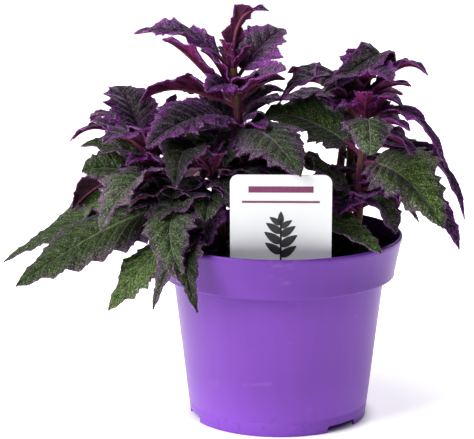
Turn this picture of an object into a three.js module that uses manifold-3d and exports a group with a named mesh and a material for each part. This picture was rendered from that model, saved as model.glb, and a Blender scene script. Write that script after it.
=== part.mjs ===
// A potted purple passion plant: a thin plastic pot with a deep collar, a body of
// potting soil, a plain plant label, and seven leafy stems with toothed, velvety
// leaves. Millimetres, +Z up. The origin is the centre of the pot's foot, and the
// front, where the label stands, faces -Y.
import * as THREE from "three";
import Module from "manifold-3d";
import { mergeVertices } from "three/addons/utils/BufferGeometryUtils.js";

const wasm = await Module();
wasm.setup();

// Driving sizes of the pot
const RIM_RADIUS = 60;
const POT_HEIGHT = 90.5;
const FOOT_RADIUS = 43;
const WALL = 1.4;
const COLLAR_FOOT = 70.4;
const COLLAR_RADIUS = 56.5;
const NECK_RADIUS = 51.4;
const FLOOR_HEIGHT = 4.2;
const EDGE_BEVEL = 0.5;
const ROUND_SIDES = 40;
const FOOT_NOTCHES = 3;
const NOTCH_WIDTH = 19;
const NOTCH_HEIGHT = 3.3;
const NOTCH_DEPTH = 12;
const FIRST_NOTCH_DEG = -44;
const DRAIN_RADIUS = 4.5;
const DRAIN_CIRCLE = 25;
const DRAIN_SIDES = 12;
const PAD_RADIUS = 11;
const PAD_SLOPE = 2;

// Driving sizes of the soil, and the gaps between pieces that touch
const GAP = 0.4;
const LABEL_GAP = 0.6;
const SOIL_EDGE_HEIGHT = 84;
const SOIL_CROWN = 2.5;
const SOIL_RINGS = [12, 26, 40];
const SOIL_WAVES = [
  [0.7, 0.31, 0.27],
  [0.5, -0.22, 0.53],
  [0.3, 0.71, 0.63],
];

// Driving sizes of the label
const LABEL_WIDTH = 47.2;
const LABEL_TOP = 128.5;
const LABEL_SHOULDER = 84;
const LABEL_SHOULDER_DROP = 10;
const LABEL_POINT = 42;
const LABEL_POINT_LENGTH = 14;
const LABEL_POINT_WIDTH = 3;
const LABEL_STAKE = 14;
const LABEL_THICKNESS = 0.8;
const LABEL_CORNER = 4;
const LABEL_CORNER_STEPS = 5;
const LABEL_X = 1;
const LABEL_Y = -44;
const LABEL_LEAN_DEG = 6;

// Driving sizes that all stems share
const STEM_FOOT_RADIUS = 2.6;
const STEM_TOP_RADIUS = 1.6;
const STEM_DEPTH = 36;
const STEM_STEP = 20;
const STEM_SIDES = 6;

// Driving sizes that all leaves share: thicknesses, the length of a toothed cell, where
// a tooth stands in its cell and how far it and the valley behind it reach, where the
// midrib's arch bends, and how often the margin waves, its lag and its skew to the tip
const BLADE_THICKNESS = 0.85;
const RIB_THICKNESS = 1.1;
const PETIOLE_THICKNESS = 1.9;
const PETIOLE_WIDTH = 2.2;
const CELL_LENGTH = 10;
const FEWEST_CELLS = 3;
const MOST_CELLS = 7;
const TOOTH_PLACE = 0.64;
const TOOTH_REACH = 1.14;
const VALLEY_REACH = 0.86;
const ARCH_PLACES = [0.33, 0.7];
const MARGIN_WAVES = 2.4;
const MARGIN_SHIFT = 1.1;
const MARGIN_SKEW = 0.8;

// The outline of a blade: the skew moves its widest place towards the stem, the
// fullness rounds it, the taper narrows it to the tip and the base keeps it off zero
const OUTLINE_SKEW = 0.72;
const OUTLINE_FULLNESS = 0.8;
const OUTLINE_TAPER = 0.22;
const OUTLINE_BASE = 0.05;

// Young leaves at a stem's top: each next one stands a golden turn on, leans out more
// and rises less, as shares of their length, and leaves the stem a step lower
const GOLDEN_TURN = 137.5;
const CROWN_WIDTH = 8;
const CROWN_LEAN = [0.45, 0.15];
const CROWN_RISE = [0.9, -0.16];
const CROWN_STEP = 2.6;
const CROWN_FORM = { lift: [3, 3], width: CROWN_WIDTH, cells: 3, fold: 20, stalk: 0.3, wave: 0.5 };

const UP = new THREE.Vector3(0, 0, 1);
const rad = THREE.MathUtils.degToRad;

// Solids from three.js geometry and back

function toSolid(geometry) {
  const bare = geometry.clone();
  bare.deleteAttribute("normal");
  bare.deleteAttribute("uv");
  const merged = mergeVertices(bare, 1e-4);
  return new wasm.Manifold(
    new wasm.Mesh({
      numProp: 3,
      vertProperties: new Float32Array(merged.attributes.position.array),
      triVerts: new Uint32Array(merged.index.array),
    }),
  );
}

function toGeometry(solid) {
  const mesh = solid.getMesh();
  return new THREE.BufferGeometry()
    .setAttribute("position", new THREE.BufferAttribute(mesh.vertProperties, 3))
    .setIndex(new THREE.BufferAttribute(mesh.triVerts, 1));
}

// The largest shell of a union, so that a hollow which crossing leaves seal is filled
function outerShell(solid) {
  return solid.decompose().reduce((best, one) => (one.volume() > best.volume() ? one : best));
}

function solidFromPoints(points, triangles) {
  const flat = new Float32Array(points.flatMap((p) => [p.x, p.y, p.z]));
  const geometry = new THREE.BufferGeometry()
    .setAttribute("position", new THREE.BufferAttribute(flat, 3))
    .setIndex(triangles.flat());
  return toSolid(geometry);
}

// The pot: one thin wall that steps out into the collar, on a foot ring with notches.
// The middle of its raised floor dips to a round pad, level with the ring.

const wallSlope = (NECK_RADIUS - FOOT_RADIUS) / COLLAR_FOOT;
const floorTop = FLOOR_HEIGHT + WALL;
const floorRadius = FOOT_RADIUS - WALL + wallSlope * floorTop;
const ledgeTop = COLLAR_FOOT + WALL;
const padInside = PAD_RADIUS - WALL / 2;

const potProfile = [
  [0, 0],
  [PAD_RADIUS, 0],
  [PAD_RADIUS + PAD_SLOPE, FLOOR_HEIGHT],
  [FOOT_RADIUS - WALL, FLOOR_HEIGHT],
  [FOOT_RADIUS - WALL, 0],
  [FOOT_RADIUS, 0],
  [NECK_RADIUS, COLLAR_FOOT],
  [COLLAR_RADIUS - EDGE_BEVEL, COLLAR_FOOT],
  [COLLAR_RADIUS, COLLAR_FOOT + EDGE_BEVEL],
  [RIM_RADIUS, POT_HEIGHT - EDGE_BEVEL],
  [RIM_RADIUS - EDGE_BEVEL, POT_HEIGHT],
  [RIM_RADIUS - WALL, POT_HEIGHT],
  [COLLAR_RADIUS - WALL, ledgeTop],
  [NECK_RADIUS - WALL, ledgeTop],
  [floorRadius, floorTop],
  [padInside + PAD_SLOPE, floorTop],
  [padInside, WALL],
  [0, WALL],
];

function makePot() {
  const outline = potProfile.map(([r, z]) => new THREE.Vector2(r, z));
  let pot = toSolid(new THREE.LatheGeometry(outline, ROUND_SIDES).rotateX(Math.PI / 2));
  for (let i = 0; i < FOOT_NOTCHES; i++) {
    const turn = rad(FIRST_NOTCH_DEG + (i * 360) / FOOT_NOTCHES);
    const notch = new THREE.BoxGeometry(NOTCH_DEPTH, NOTCH_WIDTH, NOTCH_HEIGHT * 2)
      .translate(FOOT_RADIUS, 0, 0)
      .rotateZ(turn);
    const drain = new THREE.CylinderGeometry(DRAIN_RADIUS, DRAIN_RADIUS, WALL * 4, DRAIN_SIDES)
      .rotateX(Math.PI / 2)
      .translate(DRAIN_CIRCLE, 0, FLOOR_HEIGHT + WALL / 2)
      .rotateZ(turn + Math.PI / FOOT_NOTCHES);
    pot = pot.subtract(toSolid(notch)).subtract(toSolid(drain));
  }
  return pot;
}

// The soil: it fills the pot, mounds a little, and low waves that cross make it lumpy.
// Each wave has a height and how fast it turns along x and along y.

function lump(x, y) {
  return SOIL_WAVES.reduce((sum, [high, alongX, alongY]) => {
    return sum + high * Math.sin(alongX * x + alongY * y);
  }, 0);
}

function makeSoil() {
  const collarSlope = (RIM_RADIUS - COLLAR_RADIUS) / (POT_HEIGHT - ledgeTop);
  const edge = RIM_RADIUS - WALL - GAP - (POT_HEIGHT - SOIL_EDGE_HEIGHT) * collarSlope;
  const surface = (x, y) =>
    SOIL_EDGE_HEIGHT + SOIL_CROWN * (1 - (x * x + y * y) / (edge * edge)) + lump(x, y);
  const rings = [
    { r: padInside - GAP, z: WALL + GAP },
    { r: padInside + PAD_SLOPE - GAP, z: floorTop + GAP },
    { r: floorRadius - GAP, z: floorTop + GAP },
    { r: NECK_RADIUS - WALL - GAP, z: ledgeTop + GAP },
    { r: COLLAR_RADIUS - WALL - GAP, z: ledgeTop + GAP },
    { r: edge, z: SOIL_EDGE_HEIGHT },
    ...SOIL_RINGS.map((inwards) => ({ r: edge - inwards })),
  ];
  const points = rings.flatMap(({ r, z }) =>
    Array.from({ length: ROUND_SIDES }, (_, k) => {
      const a = (k / ROUND_SIDES) * 2 * Math.PI;
      const [x, y] = [r * Math.sin(a), r * Math.cos(a)];
      return new THREE.Vector3(x, y, z ?? surface(x, y));
    }),
  );
  points.push(new THREE.Vector3(0, 0, WALL + GAP), new THREE.Vector3(0, 0, surface(0, 0)));
  const [bottom, crown] = [points.length - 2, points.length - 1];
  const last = rings.length - 1;
  const at = (ring, k) => ring * ROUND_SIDES + (k % ROUND_SIDES);
  const triangles = [];
  for (let k = 0; k < ROUND_SIDES; k++) {
    triangles.push([bottom, at(0, k), at(0, k + 1)], [at(last, k), crown, at(last, k + 1)]);
    for (let i = 0; i < last; i++) {
      triangles.push([at(i, k), at(i + 1, k), at(i, k + 1)]);
      triangles.push([at(i, k + 1), at(i + 1, k), at(i + 1, k + 1)]);
    }
  }
  return solidFromPoints(points, triangles);
}

// The label: a plain plastic card with rounded corners, on a stake that stands in the
// soil. It can be made a gap larger all round, to cut its slot in the soil.

function makeLabel(grow = 0) {
  const half = LABEL_WIDTH / 2 + grow;
  const stake = LABEL_STAKE / 2 + grow;
  const point = LABEL_POINT_WIDTH / 2 + grow;
  const stakeFoot = LABEL_POINT + LABEL_POINT_LENGTH;
  const stakeTop = LABEL_SHOULDER - LABEL_SHOULDER_DROP;
  const corner = LABEL_TOP - LABEL_CORNER;
  const card = new THREE.Shape();
  card.moveTo(-point, LABEL_POINT - grow);
  card.lineTo(point, LABEL_POINT - grow);
  card.lineTo(stake, stakeFoot);
  card.lineTo(stake, stakeTop);
  card.lineTo(half, LABEL_SHOULDER);
  card.lineTo(half, corner);
  card.absarc(half - LABEL_CORNER, corner, LABEL_CORNER, 0, Math.PI / 2);
  card.lineTo(-half + LABEL_CORNER, LABEL_TOP);
  card.absarc(-half + LABEL_CORNER, corner, LABEL_CORNER, Math.PI / 2, Math.PI);
  card.lineTo(-half, LABEL_SHOULDER);
  card.lineTo(-stake, stakeTop);
  card.lineTo(-stake, stakeFoot);
  const depth = LABEL_THICKNESS + 2 * grow;
  const settings = { depth, bevelEnabled: false, curveSegments: LABEL_CORNER_STEPS };
  const geometry = new THREE.ExtrudeGeometry(card, settings)
    .translate(LABEL_X, -LABEL_SHOULDER, -depth / 2)
    .rotateX(Math.PI / 2 + rad(LABEL_LEAN_DEG))
    .translate(0, LABEL_Y, LABEL_SHOULDER);
  return toSolid(geometry);
}

// A stem is a tapered stalk that stands in the soil. Its middle at a height is on a
// shallow bow between its foot and its top. It too can be made a gap larger.

function stemShare({ foot, top }, height) {
  return Math.max(0, (height - foot[2]) / (top[2] - foot[2]));
}

function stemPoint(stem, height) {
  const { foot, top, bow = [0, 0] } = stem;
  const share = stemShare(stem, height);
  const belly = 4 * share * (1 - share);
  return new THREE.Vector3(
    foot[0] + (top[0] - foot[0]) * share + bow[0] * belly,
    foot[1] + (top[1] - foot[1]) * share + bow[1] * belly,
    height,
  );
}

function makeStalk(stem, grow = 0) {
  const rise = stem.top[2] - stem.foot[2];
  const steps = Math.max(2, Math.round(rise / STEM_STEP));
  const heights = [stem.foot[2] - STEM_DEPTH - grow];
  for (let i = 0; i <= steps; i++) heights.push(stem.foot[2] + (rise * i) / steps);
  const points = heights.flatMap((height) => {
    const taper = (STEM_TOP_RADIUS - STEM_FOOT_RADIUS) * stemShare(stem, height);
    const radius = STEM_FOOT_RADIUS + taper + grow;
    const middle = stemPoint(stem, height);
    return Array.from({ length: STEM_SIDES }, (_, k) => {
      const a = (k / STEM_SIDES) * 2 * Math.PI;
      return new THREE.Vector3(radius * Math.cos(a), radius * Math.sin(a), 0).add(middle);
    });
  });
  const last = heights.length - 1;
  points.push(stemPoint(stem, heights[0]), stemPoint(stem, heights[last]).add(UP));
  const [low, high] = [points.length - 2, points.length - 1];
  const at = (ring, k) => ring * STEM_SIDES + (k % STEM_SIDES);
  const triangles = [];
  for (let k = 0; k < STEM_SIDES; k++) {
    triangles.push([low, at(0, k + 1), at(0, k)], [high, at(last, k), at(last, k + 1)]);
    for (let i = 0; i < last; i++) {
      triangles.push([at(i, k), at(i, k + 1), at(i + 1, k)]);
      triangles.push([at(i, k + 1), at(i + 1, k + 1), at(i + 1, k)]);
    }
  }
  return solidFromPoints(points, triangles);
}

// The middle surface of a leaf. Its midrib is an arch from the middle of the stem to the
// tip, and its halves fold up from the midrib by an angle. The roll and the twist turn
// the blade about the midrib. It gives a point at a share s of the midrib and a signed
// distance from it, raised a little, with the normal there.

function leafSurface(stem, spec) {
  const { at, tip, lift, lean = [0, 0], roll = 0, twist = 0, fold = 14, turn } = spec;
  const from = stemPoint(stem, at);
  const to = new THREE.Vector3(...tip);
  const chord = to.clone().sub(from);
  const [first, second] = ARCH_PLACES.map((share, i) => {
    const shift = new THREE.Vector3(lean[0], lean[1], lift[i]);
    return from.clone().addScaledVector(chord, share).add(shift);
  });
  const midrib = new THREE.CubicBezierCurve3(from, first, second, to);
  const heading = turn === undefined ? Math.atan2(chord.y, chord.x) : rad(turn);
  const across = new THREE.Vector3(-Math.sin(heading), Math.cos(heading), 0);
  const slope = rad(fold);

  const place = (s, reach, rise) => {
    const along = midrib.getTangent(s);
    const side = across
      .clone()
      .addScaledVector(along, -across.dot(along))
      .normalize()
      .applyAxisAngle(along, rad(roll + twist * s));
    const normal = along.clone().cross(side);
    const point = midrib
      .getPoint(s)
      .addScaledVector(side, reach * Math.cos(slope))
      .addScaledVector(normal, Math.abs(reach) * Math.sin(slope) + rise);
    return { point, normal };
  };
  return { length: chord.length(), place };
}

function outlineShare(q, full) {
  const round = Math.sin(Math.PI * q ** OUTLINE_SKEW) ** full;
  return round * (1 - OUTLINE_TAPER * q) + OUTLINE_BASE * (1 - q);
}

// One leaf: a stalk, then a blade of cells, each with one forward tooth on each side.
// The upper face and its twin below are split into triangles alike.

function makeLeaf(stem, spec) {
  const { width, wave = 1.2, stalk = 0.14, full = OUTLINE_FULLNESS } = spec;
  const surface = leafSurface(stem, spec);
  const fitting = Math.round(surface.length / CELL_LENGTH);
  const cells = spec.cells ?? THREE.MathUtils.clamp(fitting, FEWEST_CELLS, MOST_CELLS);
  const bladePlace = (q) => stalk + (1 - stalk) * q;
  const points = [];
  const triangles = [];

  // Two points, the upper one and the next below it
  const add = (s, reach, rise, thickness) => {
    const { point, normal } = surface.place(s, reach, rise);
    points.push(point.clone().addScaledVector(normal, thickness / 2));
    points.push(point.clone().addScaledVector(normal, -thickness / 2));
    return points.length - 2;
  };
  const margin = (q, hand, share) => {
    const reach = Math.max((width / 2) * outlineShare(q, full) * share, PETIOLE_WIDTH / 2);
    const turn = 2 * Math.PI * MARGIN_WAVES * q + MARGIN_SHIFT * hand;
    const rise = wave * Math.sin(turn) * Math.sin(Math.PI * q ** MARGIN_SKEW);
    return add(bladePlace(q), hand * reach, rise, BLADE_THICKNESS);
  };
  const skin = (hand, a, b, c) => {
    const [p, q, r] = hand > 0 ? [a, b, c] : [a, c, b];
    triangles.push([p, q, r], [p + 1, r + 1, q + 1]);
  };
  const wall = (hand, a, b) => {
    const [p, q] = hand > 0 ? [a, b] : [b, a];
    triangles.push([p, q, q + 1], [p, q + 1, p + 1]);
  };

  const ribs = [0, stalk].map((s) => add(s, 0, 0, PETIOLE_THICKNESS));
  for (let i = 1; i < cells; i++) ribs.push(add(bladePlace(i / cells), 0, 0, RIB_THICKNESS));
  ribs.push(add(1, 0, 0, BLADE_THICKNESS));
  for (const hand of [1, -1]) {
    const edges = [0, stalk].map((s) => add(s, (hand * PETIOLE_WIDTH) / 2, 0, PETIOLE_THICKNESS));
    const rim = [ribs[0], ...edges];
    skin(hand, ribs[0], ribs[1], edges[1]);
    skin(hand, ribs[0], edges[1], edges[0]);
    for (let i = 1; i <= cells; i++) {
      const tooth = margin((i - 1 + TOOTH_PLACE) / cells, hand, TOOTH_REACH);
      skin(hand, ribs[i], tooth, edges[i]);
      skin(hand, ribs[i], ribs[i + 1], tooth);
      rim.push(tooth);
      if (i === cells) break;
      edges.push(margin(i / cells, hand, VALLEY_REACH));
      skin(hand, ribs[i + 1], edges[i + 1], tooth);
      rim.push(edges[i + 1]);
    }
    rim.push(ribs[cells + 1]);
    for (let i = 0; i + 1 < rim.length; i++) wall(hand, rim[i], rim[i + 1]);
  }
  return solidFromPoints(points, triangles);
}

function crownLeaves({ top, crown }) {
  const { start, length = 16, count = 3 } = crown;
  return Array.from({ length: count }, (_, k) => {
    const angle = rad(start + k * GOLDEN_TURN);
    const reach = length * (CROWN_LEAN[0] + CROWN_LEAN[1] * k);
    const rise = length * (CROWN_RISE[0] + CROWN_RISE[1] * k);
    const tip = [top[0] + reach * Math.cos(angle), top[1] + reach * Math.sin(angle), top[2] + rise];
    return { ...CROWN_FORM, at: top[2] - CROWN_STEP * k, tip };
  });
}

const leaf = (at, tip, lift, width, more = {}) => ({ at, tip, lift, width, ...more });

// The stems. Each leaf is given as the height where it leaves the stem, its tip, how far
// its arch rises over the straight line at a third and at two thirds, and its width.
// Further settings lean, roll, twist or fold it, or make its outline fuller.

const stems = {
  stem_middle: {
    foot: [-12, 0, 81],
    top: [-22, -2, 171],
    crown: { start: 210 },
    leaves: [
      leaf(143, [10, -55, 129], [9, 8], 33, { fold: -8, roll: 10, stalk: 0.06 }),
      leaf(144, [-61, -44, 140], [11, 11], 30, { roll: -16 }),
      leaf(152, [-67, -2, 155], [8, 13], 25, { roll: 20 }),
      leaf(159, [3, -26, 174], [2, 3], 22, { roll: 26, stalk: 0.02 }),
      leaf(156, [-34, -24, 163], [8, 6], 18, { roll: -22 }),
      leaf(164, [3, 12, 188], [6, 6], 31, { turn: 60, stalk: 0.15 }),
      leaf(169, [-5, -5, 199], [12, 14], 10, { lean: [-8, 0], turn: -70 }),
      leaf(167, [-69, -6, 188], [18, 10], 14, { roll: -30, stalk: 0.15 }),
      leaf(153, [-54, -22, 187], [13, 11], 14, { lean: [-7, 0], stalk: 0.2 }),
      leaf(149, [2, 12, 158], [5, 7], 20),
      leaf(144, [-5, 41, 147], [8, 8], 24),
      leaf(149, [-36, 30, 150], [8, 8], 20),
      leaf(122, [16, -40, 129], [11, 8], 24),
      leaf(118, [4, -38, 116], [8, 8], 22),
      leaf(92, [48, -43, 90], [9, 13], 32, { roll: 4 }),
      leaf(132, [-46, 6, 133], [8, 10], 24),
      leaf(138, [-42, 14, 144], [8, 8], 22),
      leaf(112, [12, -8, 112], [8, 8], 22),
    ],
  },
  stem_right_tall: {
    foot: [33, 8, 81],
    top: [36, 6, 158],
    crown: { start: 150, length: 14 },
    leaves: [
      leaf(150, [20, -17, 165], [13, 12], 26, { roll: -10, stalk: 0.2 }),
      leaf(155, [21, -7, 160], [28, 26], 21, { lean: [26, 0], roll: 30, twist: -75, stalk: 0.2 }),
      leaf(158, [36, 18, 178], [4, 4], 14, { turn: 90, stalk: 0.25 }),
      leaf(152, [53, -24, 168], [14, 13], 18, { roll: 10, stalk: 0.25 }),
      leaf(150, [71, -2, 168], [10, 19], 16, { stalk: 0.3 }),
      leaf(147, [60, 14, 156], [8, 8], 20),
      leaf(154, [4, 19, 166], [8, 9], 20),
      leaf(147, [0, -6, 155], [20, 20], 25, { lean: [0, -4] }),
      leaf(132, [20, 28, 146], [8, 8], 24),
      leaf(106, [4, 22, 107], [7, 7], 22),
    ],
  },
  stem_right_front: {
    foot: [37, -5, 81],
    top: [41, -9, 150],
    crown: { start: 200, length: 12 },
    leaves: [
      leaf(145, [42, -46, 137], [13, 15], 24, { fold: -12, lean: [0, -14], full: 0.36 }),
      leaf(148, [79, -15, 126], [17, 20], 11, { lean: [3, 0], roll: 5, twist: 25 }),
      leaf(136, [90, -3, 98], [17, 20], 11, { lean: [8, 0], roll: 10, twist: 35 }),
      leaf(140, [66, -18, 129], [8, 9], 18),
      leaf(126, [77, -38, 101], [13, 12], 36, { roll: 24 }),
      leaf(112, [87, -12, 85], [16, 22], 25, { lean: [3, 0], roll: 32 }),
      leaf(110, [56, -22, 95], [8, 8], 28),
      leaf(102, [41, -30, 114], [4, 4], 13),
      leaf(130, [-7, 5, 147], [8, 9], 27, { roll: -38, full: 0.5 }),
      leaf(109, [3, -12, 131], [2, 4], 19, { roll: -25 }),
      leaf(103, [12, 2, 114], [6, 6], 20, { roll: -25 }),
    ],
  },
  stem_left: {
    foot: [-28, -8, 81],
    top: [-62, -12, 130],
    bow: [4, 0],
    crown: { start: 10 },
    leaves: [
      leaf(119, [-83, -47, 101], [14, 17], 33, { roll: 8, stalk: 0.2 }),
      leaf(107, [-124, -37, 72], [12, 7], 42, { roll: -10, twist: -18, fold: -4 }),
      leaf(110, [-134, -4, 76], [9, 7], 22, { roll: -14, twist: -10 }),
      leaf(113, [-111, 8, 90], [11, 11], 28, { roll: -30, twist: -10 }),
      leaf(119, [-101, 3, 101], [12, 14], 27, { roll: 12, twist: 20, stalk: 0.3 }),
      leaf(118, [-94, -16, 123], [1, 7], 31, { roll: -35, twist: -15, stalk: 0.25 }),
      leaf(127, [-101, 2, 135], [11, 18], 17, { stalk: 0.3 }),
      leaf(129, [-93, 24, 141], [11, 15], 19, { stalk: 0.25 }),
      leaf(131, [-80, 12, 160], [9, 8], 28, { stalk: 0.2 }),
      leaf(127, [-82, -33, 140], [12, 10], 22, { stalk: 0.2 }),
      leaf(130, [-64, -32, 146], [8, 5], 17, { stalk: 0.2 }),
      leaf(123, [-50, 22, 145], [8, 8], 23),
    ],
  },
  stem_front_left: {
    foot: [-26, -22, 81],
    top: [-31, -26, 128],
    crown: { start: 30, length: 13, count: 4 },
    leaves: [
      leaf(110, [-44, -60, 79], [17, 18], 27, { fold: 4, lean: [-17, 0], stalk: 0.25 }),
      leaf(97, [-37, -69, 68], [10, 20], 16, { lean: [-13, 0], stalk: 0.25 }),
      leaf(116, [-35, -41, 90], [10, 10], 22, { stalk: 0.3 }),
      leaf(102, [-80, -43, 62], [13, 11], 31, { roll: 5, twist: -37, fold: -5, stalk: 0.3 }),
      leaf(99, [-58, -60, 67], [14, 20], 17, { stalk: 0.3 }),
      leaf(121, [-20, -42, 108], [8, 8], 18),
      leaf(121, [-48, -44, 121], [22, 23], 30, { lean: [-4, 0], roll: -10, stalk: 0.2 }),
    ],
  },
  stem_back_left: {
    foot: [-18, 25, 81],
    top: [-34, 44, 136],
    crown: { start: 150 },
    leaves: [
      leaf(126, [-70, 70, 118], [16, 16], 26),
      leaf(132, [-30, 88, 124], [16, 16], 26),
      leaf(133, [-66, 42, 137], [10, 12], 23, { stalk: 0.2 }),
      leaf(114, [-84, 46, 92], [14, 16], 30),
      leaf(107, [-52, 90, 88], [18, 18], 30),
      leaf(100, [-10, 84, 84], [18, 18], 28),
      leaf(127, [-6, 58, 138], [8, 8], 22),
      leaf(116, [-48, 8, 118], [8, 8], 26),
      leaf(121, [-4, 10, 126], [8, 8], 22),
    ],
  },
  stem_back_right: {
    foot: [26, 30, 81],
    top: [35, 50, 146],
    crown: { start: 250 },
    leaves: [
      leaf(136, [54, 74, 130], [14, 14], 26),
      leaf(142, [10, 90, 134], [14, 14], 26),
      leaf(141, [62, 40, 146], [8, 10], 23),
      leaf(112, [76, 62, 88], [11, 14], 30),
      leaf(104, [36, 92, 80], [14, 15], 30),
      leaf(104, [70, 28, 90], [14, 16], 28),
      leaf(138, [-6, 54, 146], [6, 8], 22),
      leaf(106, [4, 50, 97], [6, 6], 26),
    ],
  },
};

function makeStem(stem) {
  const leaves = [...stem.leaves, ...crownLeaves(stem)].map((spec) => makeLeaf(stem, spec));
  return outerShell(wasm.Manifold.union([makeStalk(stem), ...leaves]));
}

// The whole plant in its pot

const looks = {
  pot: { color: 0x8f5cc8, roughness: 0.42, metalness: 0 },
  soil: { color: 0x1c1512, roughness: 1, metalness: 0 },
  label: { color: 0xf4f3f0, roughness: 0.4, metalness: 0 },
  leaves: { color: 0x4b2a5c, roughness: 0.85, metalness: 0 },
};

const group = new THREE.Group();

function place(name, solid, look) {
  const mesh = new THREE.Mesh(toGeometry(solid), new THREE.MeshStandardMaterial(look));
  mesh.name = name;
  group.add(mesh);
}

const stemHoles = Object.values(stems).map((stem) => makeStalk(stem, GAP));
const soilHollows = wasm.Manifold.union([makeLabel(LABEL_GAP), ...stemHoles]);

place("pot", makePot(), looks.pot);
place("soil", makeSoil().subtract(soilHollows), looks.soil);
place("label", makeLabel(), looks.label);
for (const [name, stem] of Object.entries(stems)) place(name, makeStem(stem), looks.leaves);

export default group;
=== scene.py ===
# %% [markdown]
# # A potted purple passion plant
# The real thing is a young climbing plant, sold in a thin plastic pot. Its soft stems carry
# toothed leaves, and a coat of fine violet hairs makes them look like velvet. This lesson
# dresses a plain, exact model of it. The model gives the pot, the soil, the label and each
# leafy stem at its true size and place, and every finer piece made here keeps to those
# places. The first step loads that model.

# %% Load the model
import math

import bpy
import numpy as np
from mathutils import Matrix, Vector, noise


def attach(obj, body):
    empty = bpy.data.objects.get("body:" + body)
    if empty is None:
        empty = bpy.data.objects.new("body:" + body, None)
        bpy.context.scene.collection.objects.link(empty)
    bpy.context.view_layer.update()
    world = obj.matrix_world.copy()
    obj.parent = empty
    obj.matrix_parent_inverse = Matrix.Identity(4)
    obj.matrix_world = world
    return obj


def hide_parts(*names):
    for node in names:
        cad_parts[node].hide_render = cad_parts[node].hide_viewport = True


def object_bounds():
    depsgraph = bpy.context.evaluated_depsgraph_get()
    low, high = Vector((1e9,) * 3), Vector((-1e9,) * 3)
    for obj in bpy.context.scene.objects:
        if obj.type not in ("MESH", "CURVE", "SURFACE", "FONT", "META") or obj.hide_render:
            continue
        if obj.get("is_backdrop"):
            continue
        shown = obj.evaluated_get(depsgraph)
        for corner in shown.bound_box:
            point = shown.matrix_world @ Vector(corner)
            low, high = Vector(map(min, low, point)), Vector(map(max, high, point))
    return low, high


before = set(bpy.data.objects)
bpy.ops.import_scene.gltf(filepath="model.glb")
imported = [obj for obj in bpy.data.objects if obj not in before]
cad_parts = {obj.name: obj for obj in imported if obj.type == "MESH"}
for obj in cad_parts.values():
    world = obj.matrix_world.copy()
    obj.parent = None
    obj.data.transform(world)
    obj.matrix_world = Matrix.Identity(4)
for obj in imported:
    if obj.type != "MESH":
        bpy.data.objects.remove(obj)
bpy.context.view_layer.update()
bpy.ops.object.select_all(action="DESELECT")
MM = 0.001
RANDOM = np.random.default_rng(20)

# %% [markdown]
# ## The camera
# The plant is seen from the front and a little above, through a long lens, so the pot's
# sides hardly narrow with distance. A camera could be nudged until the picture looks right.
# This one's height, tilt and lens were worked out from the pot's rim and foot instead, so
# they only have to be typed, and nothing has to be moved when the plant changes.

# %% Camera
PICTURE_WIDTH = 474
SENSOR = 36
FOCAL_PIXELS = 2106
CAMERA_DISTANCE = 1000 * MM
CAMERA_HEIGHT = 311.8 * MM
CAMERA_PITCH = 12.14
CAMERA_YAW = 1.16


def placed(name, data):
    """A new object in the scene that shows this camera, lamp, curve or mesh."""
    made = bpy.data.objects.new(name, data)
    bpy.context.scene.collection.objects.link(made)
    return made


camera_data = bpy.data.cameras.new("camera")
camera_data.sensor_width = SENSOR
camera_data.lens = FOCAL_PIXELS * SENSOR / PICTURE_WIDTH
camera = placed("camera", camera_data)
camera.location = (0, -CAMERA_DISTANCE, CAMERA_HEIGHT)
camera.rotation_euler = (math.radians(90 - CAMERA_PITCH), 0, math.radians(CAMERA_YAW))
bpy.context.scene.camera = camera
print("lens is", round(camera_data.lens), "mm long")

# %% [markdown]
# ## Floor and sky
# A product picture like this is taken on a pale ground between pale walls. A curved
# backdrop could be built. Here a big flat sheet is enough, with a sky that fades from light
# on the left to dim on the right in place of the walls. The world's own nodes make that
# fade from the direction in which a ray leaves the scene.

# %% Floor and sky
FLOOR_HALF = 3
SKY_LEFT, SKY_RIGHT = 0.8, 0.0

bpy.ops.mesh.primitive_plane_add(size=2 * FLOOR_HALF, location=(0, 0, 0))
floor = bpy.context.object
floor.name = "floor"
floor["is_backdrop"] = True

world = bpy.data.worlds.new("studio")
bpy.context.scene.world = world
world.use_nodes = True
sky = world.node_tree
direction = sky.nodes.new("ShaderNodeTexCoord")
axes = sky.nodes.new("ShaderNodeSeparateXYZ")
fade = sky.nodes.new("ShaderNodeMapRange")
fade.inputs["From Min"].default_value, fade.inputs["From Max"].default_value = -1, 1
fade.inputs["To Min"].default_value, fade.inputs["To Max"].default_value = SKY_LEFT, SKY_RIGHT
sky.links.new(direction.outputs["Generated"], axes.inputs["Vector"])
sky.links.new(axes.outputs["X"], fade.inputs["Value"])
sky.links.new(fade.outputs["Result"], sky.nodes["Background"].inputs["Strength"])
print("sky fades from", SKY_LEFT, "on the left to", SKY_RIGHT, "on the right")

# %% [markdown]
# ## Lamps
# Two large square lamps give the plant its shape, because large lamps throw soft shadows:
# the main one high on the left, and a weaker one behind that lights up the hairs along the
# edges of the leaves. Each is aimed at the middle of the plant by its direction, so no
# angles have to be guessed.

# %% Lamps
PLANT_MIDDLE = (0, 0, 0.11)


def lamp(name, place, target, size, watts):
    """A large square lamp at a place, turned towards a target."""
    data = bpy.data.lights.new(name, "AREA")
    data.size = size
    data.energy = watts
    made = placed(name, data)
    made.location = place
    made.rotation_euler = (Vector(target) - Vector(place)).to_track_quat("-Z", "Y").to_euler()


lamp("main_lamp", place=(-0.95, -0.6, 0.95), target=PLANT_MIDDLE, size=1.0, watts=24)
lamp("back_lamp", place=(0.25, 0.9, 0.8), target=PLANT_MIDDLE, size=0.5, watts=4)
view = bpy.context.scene.view_settings
view.view_transform = "Standard"
view.look = "Medium High Contrast"

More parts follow.
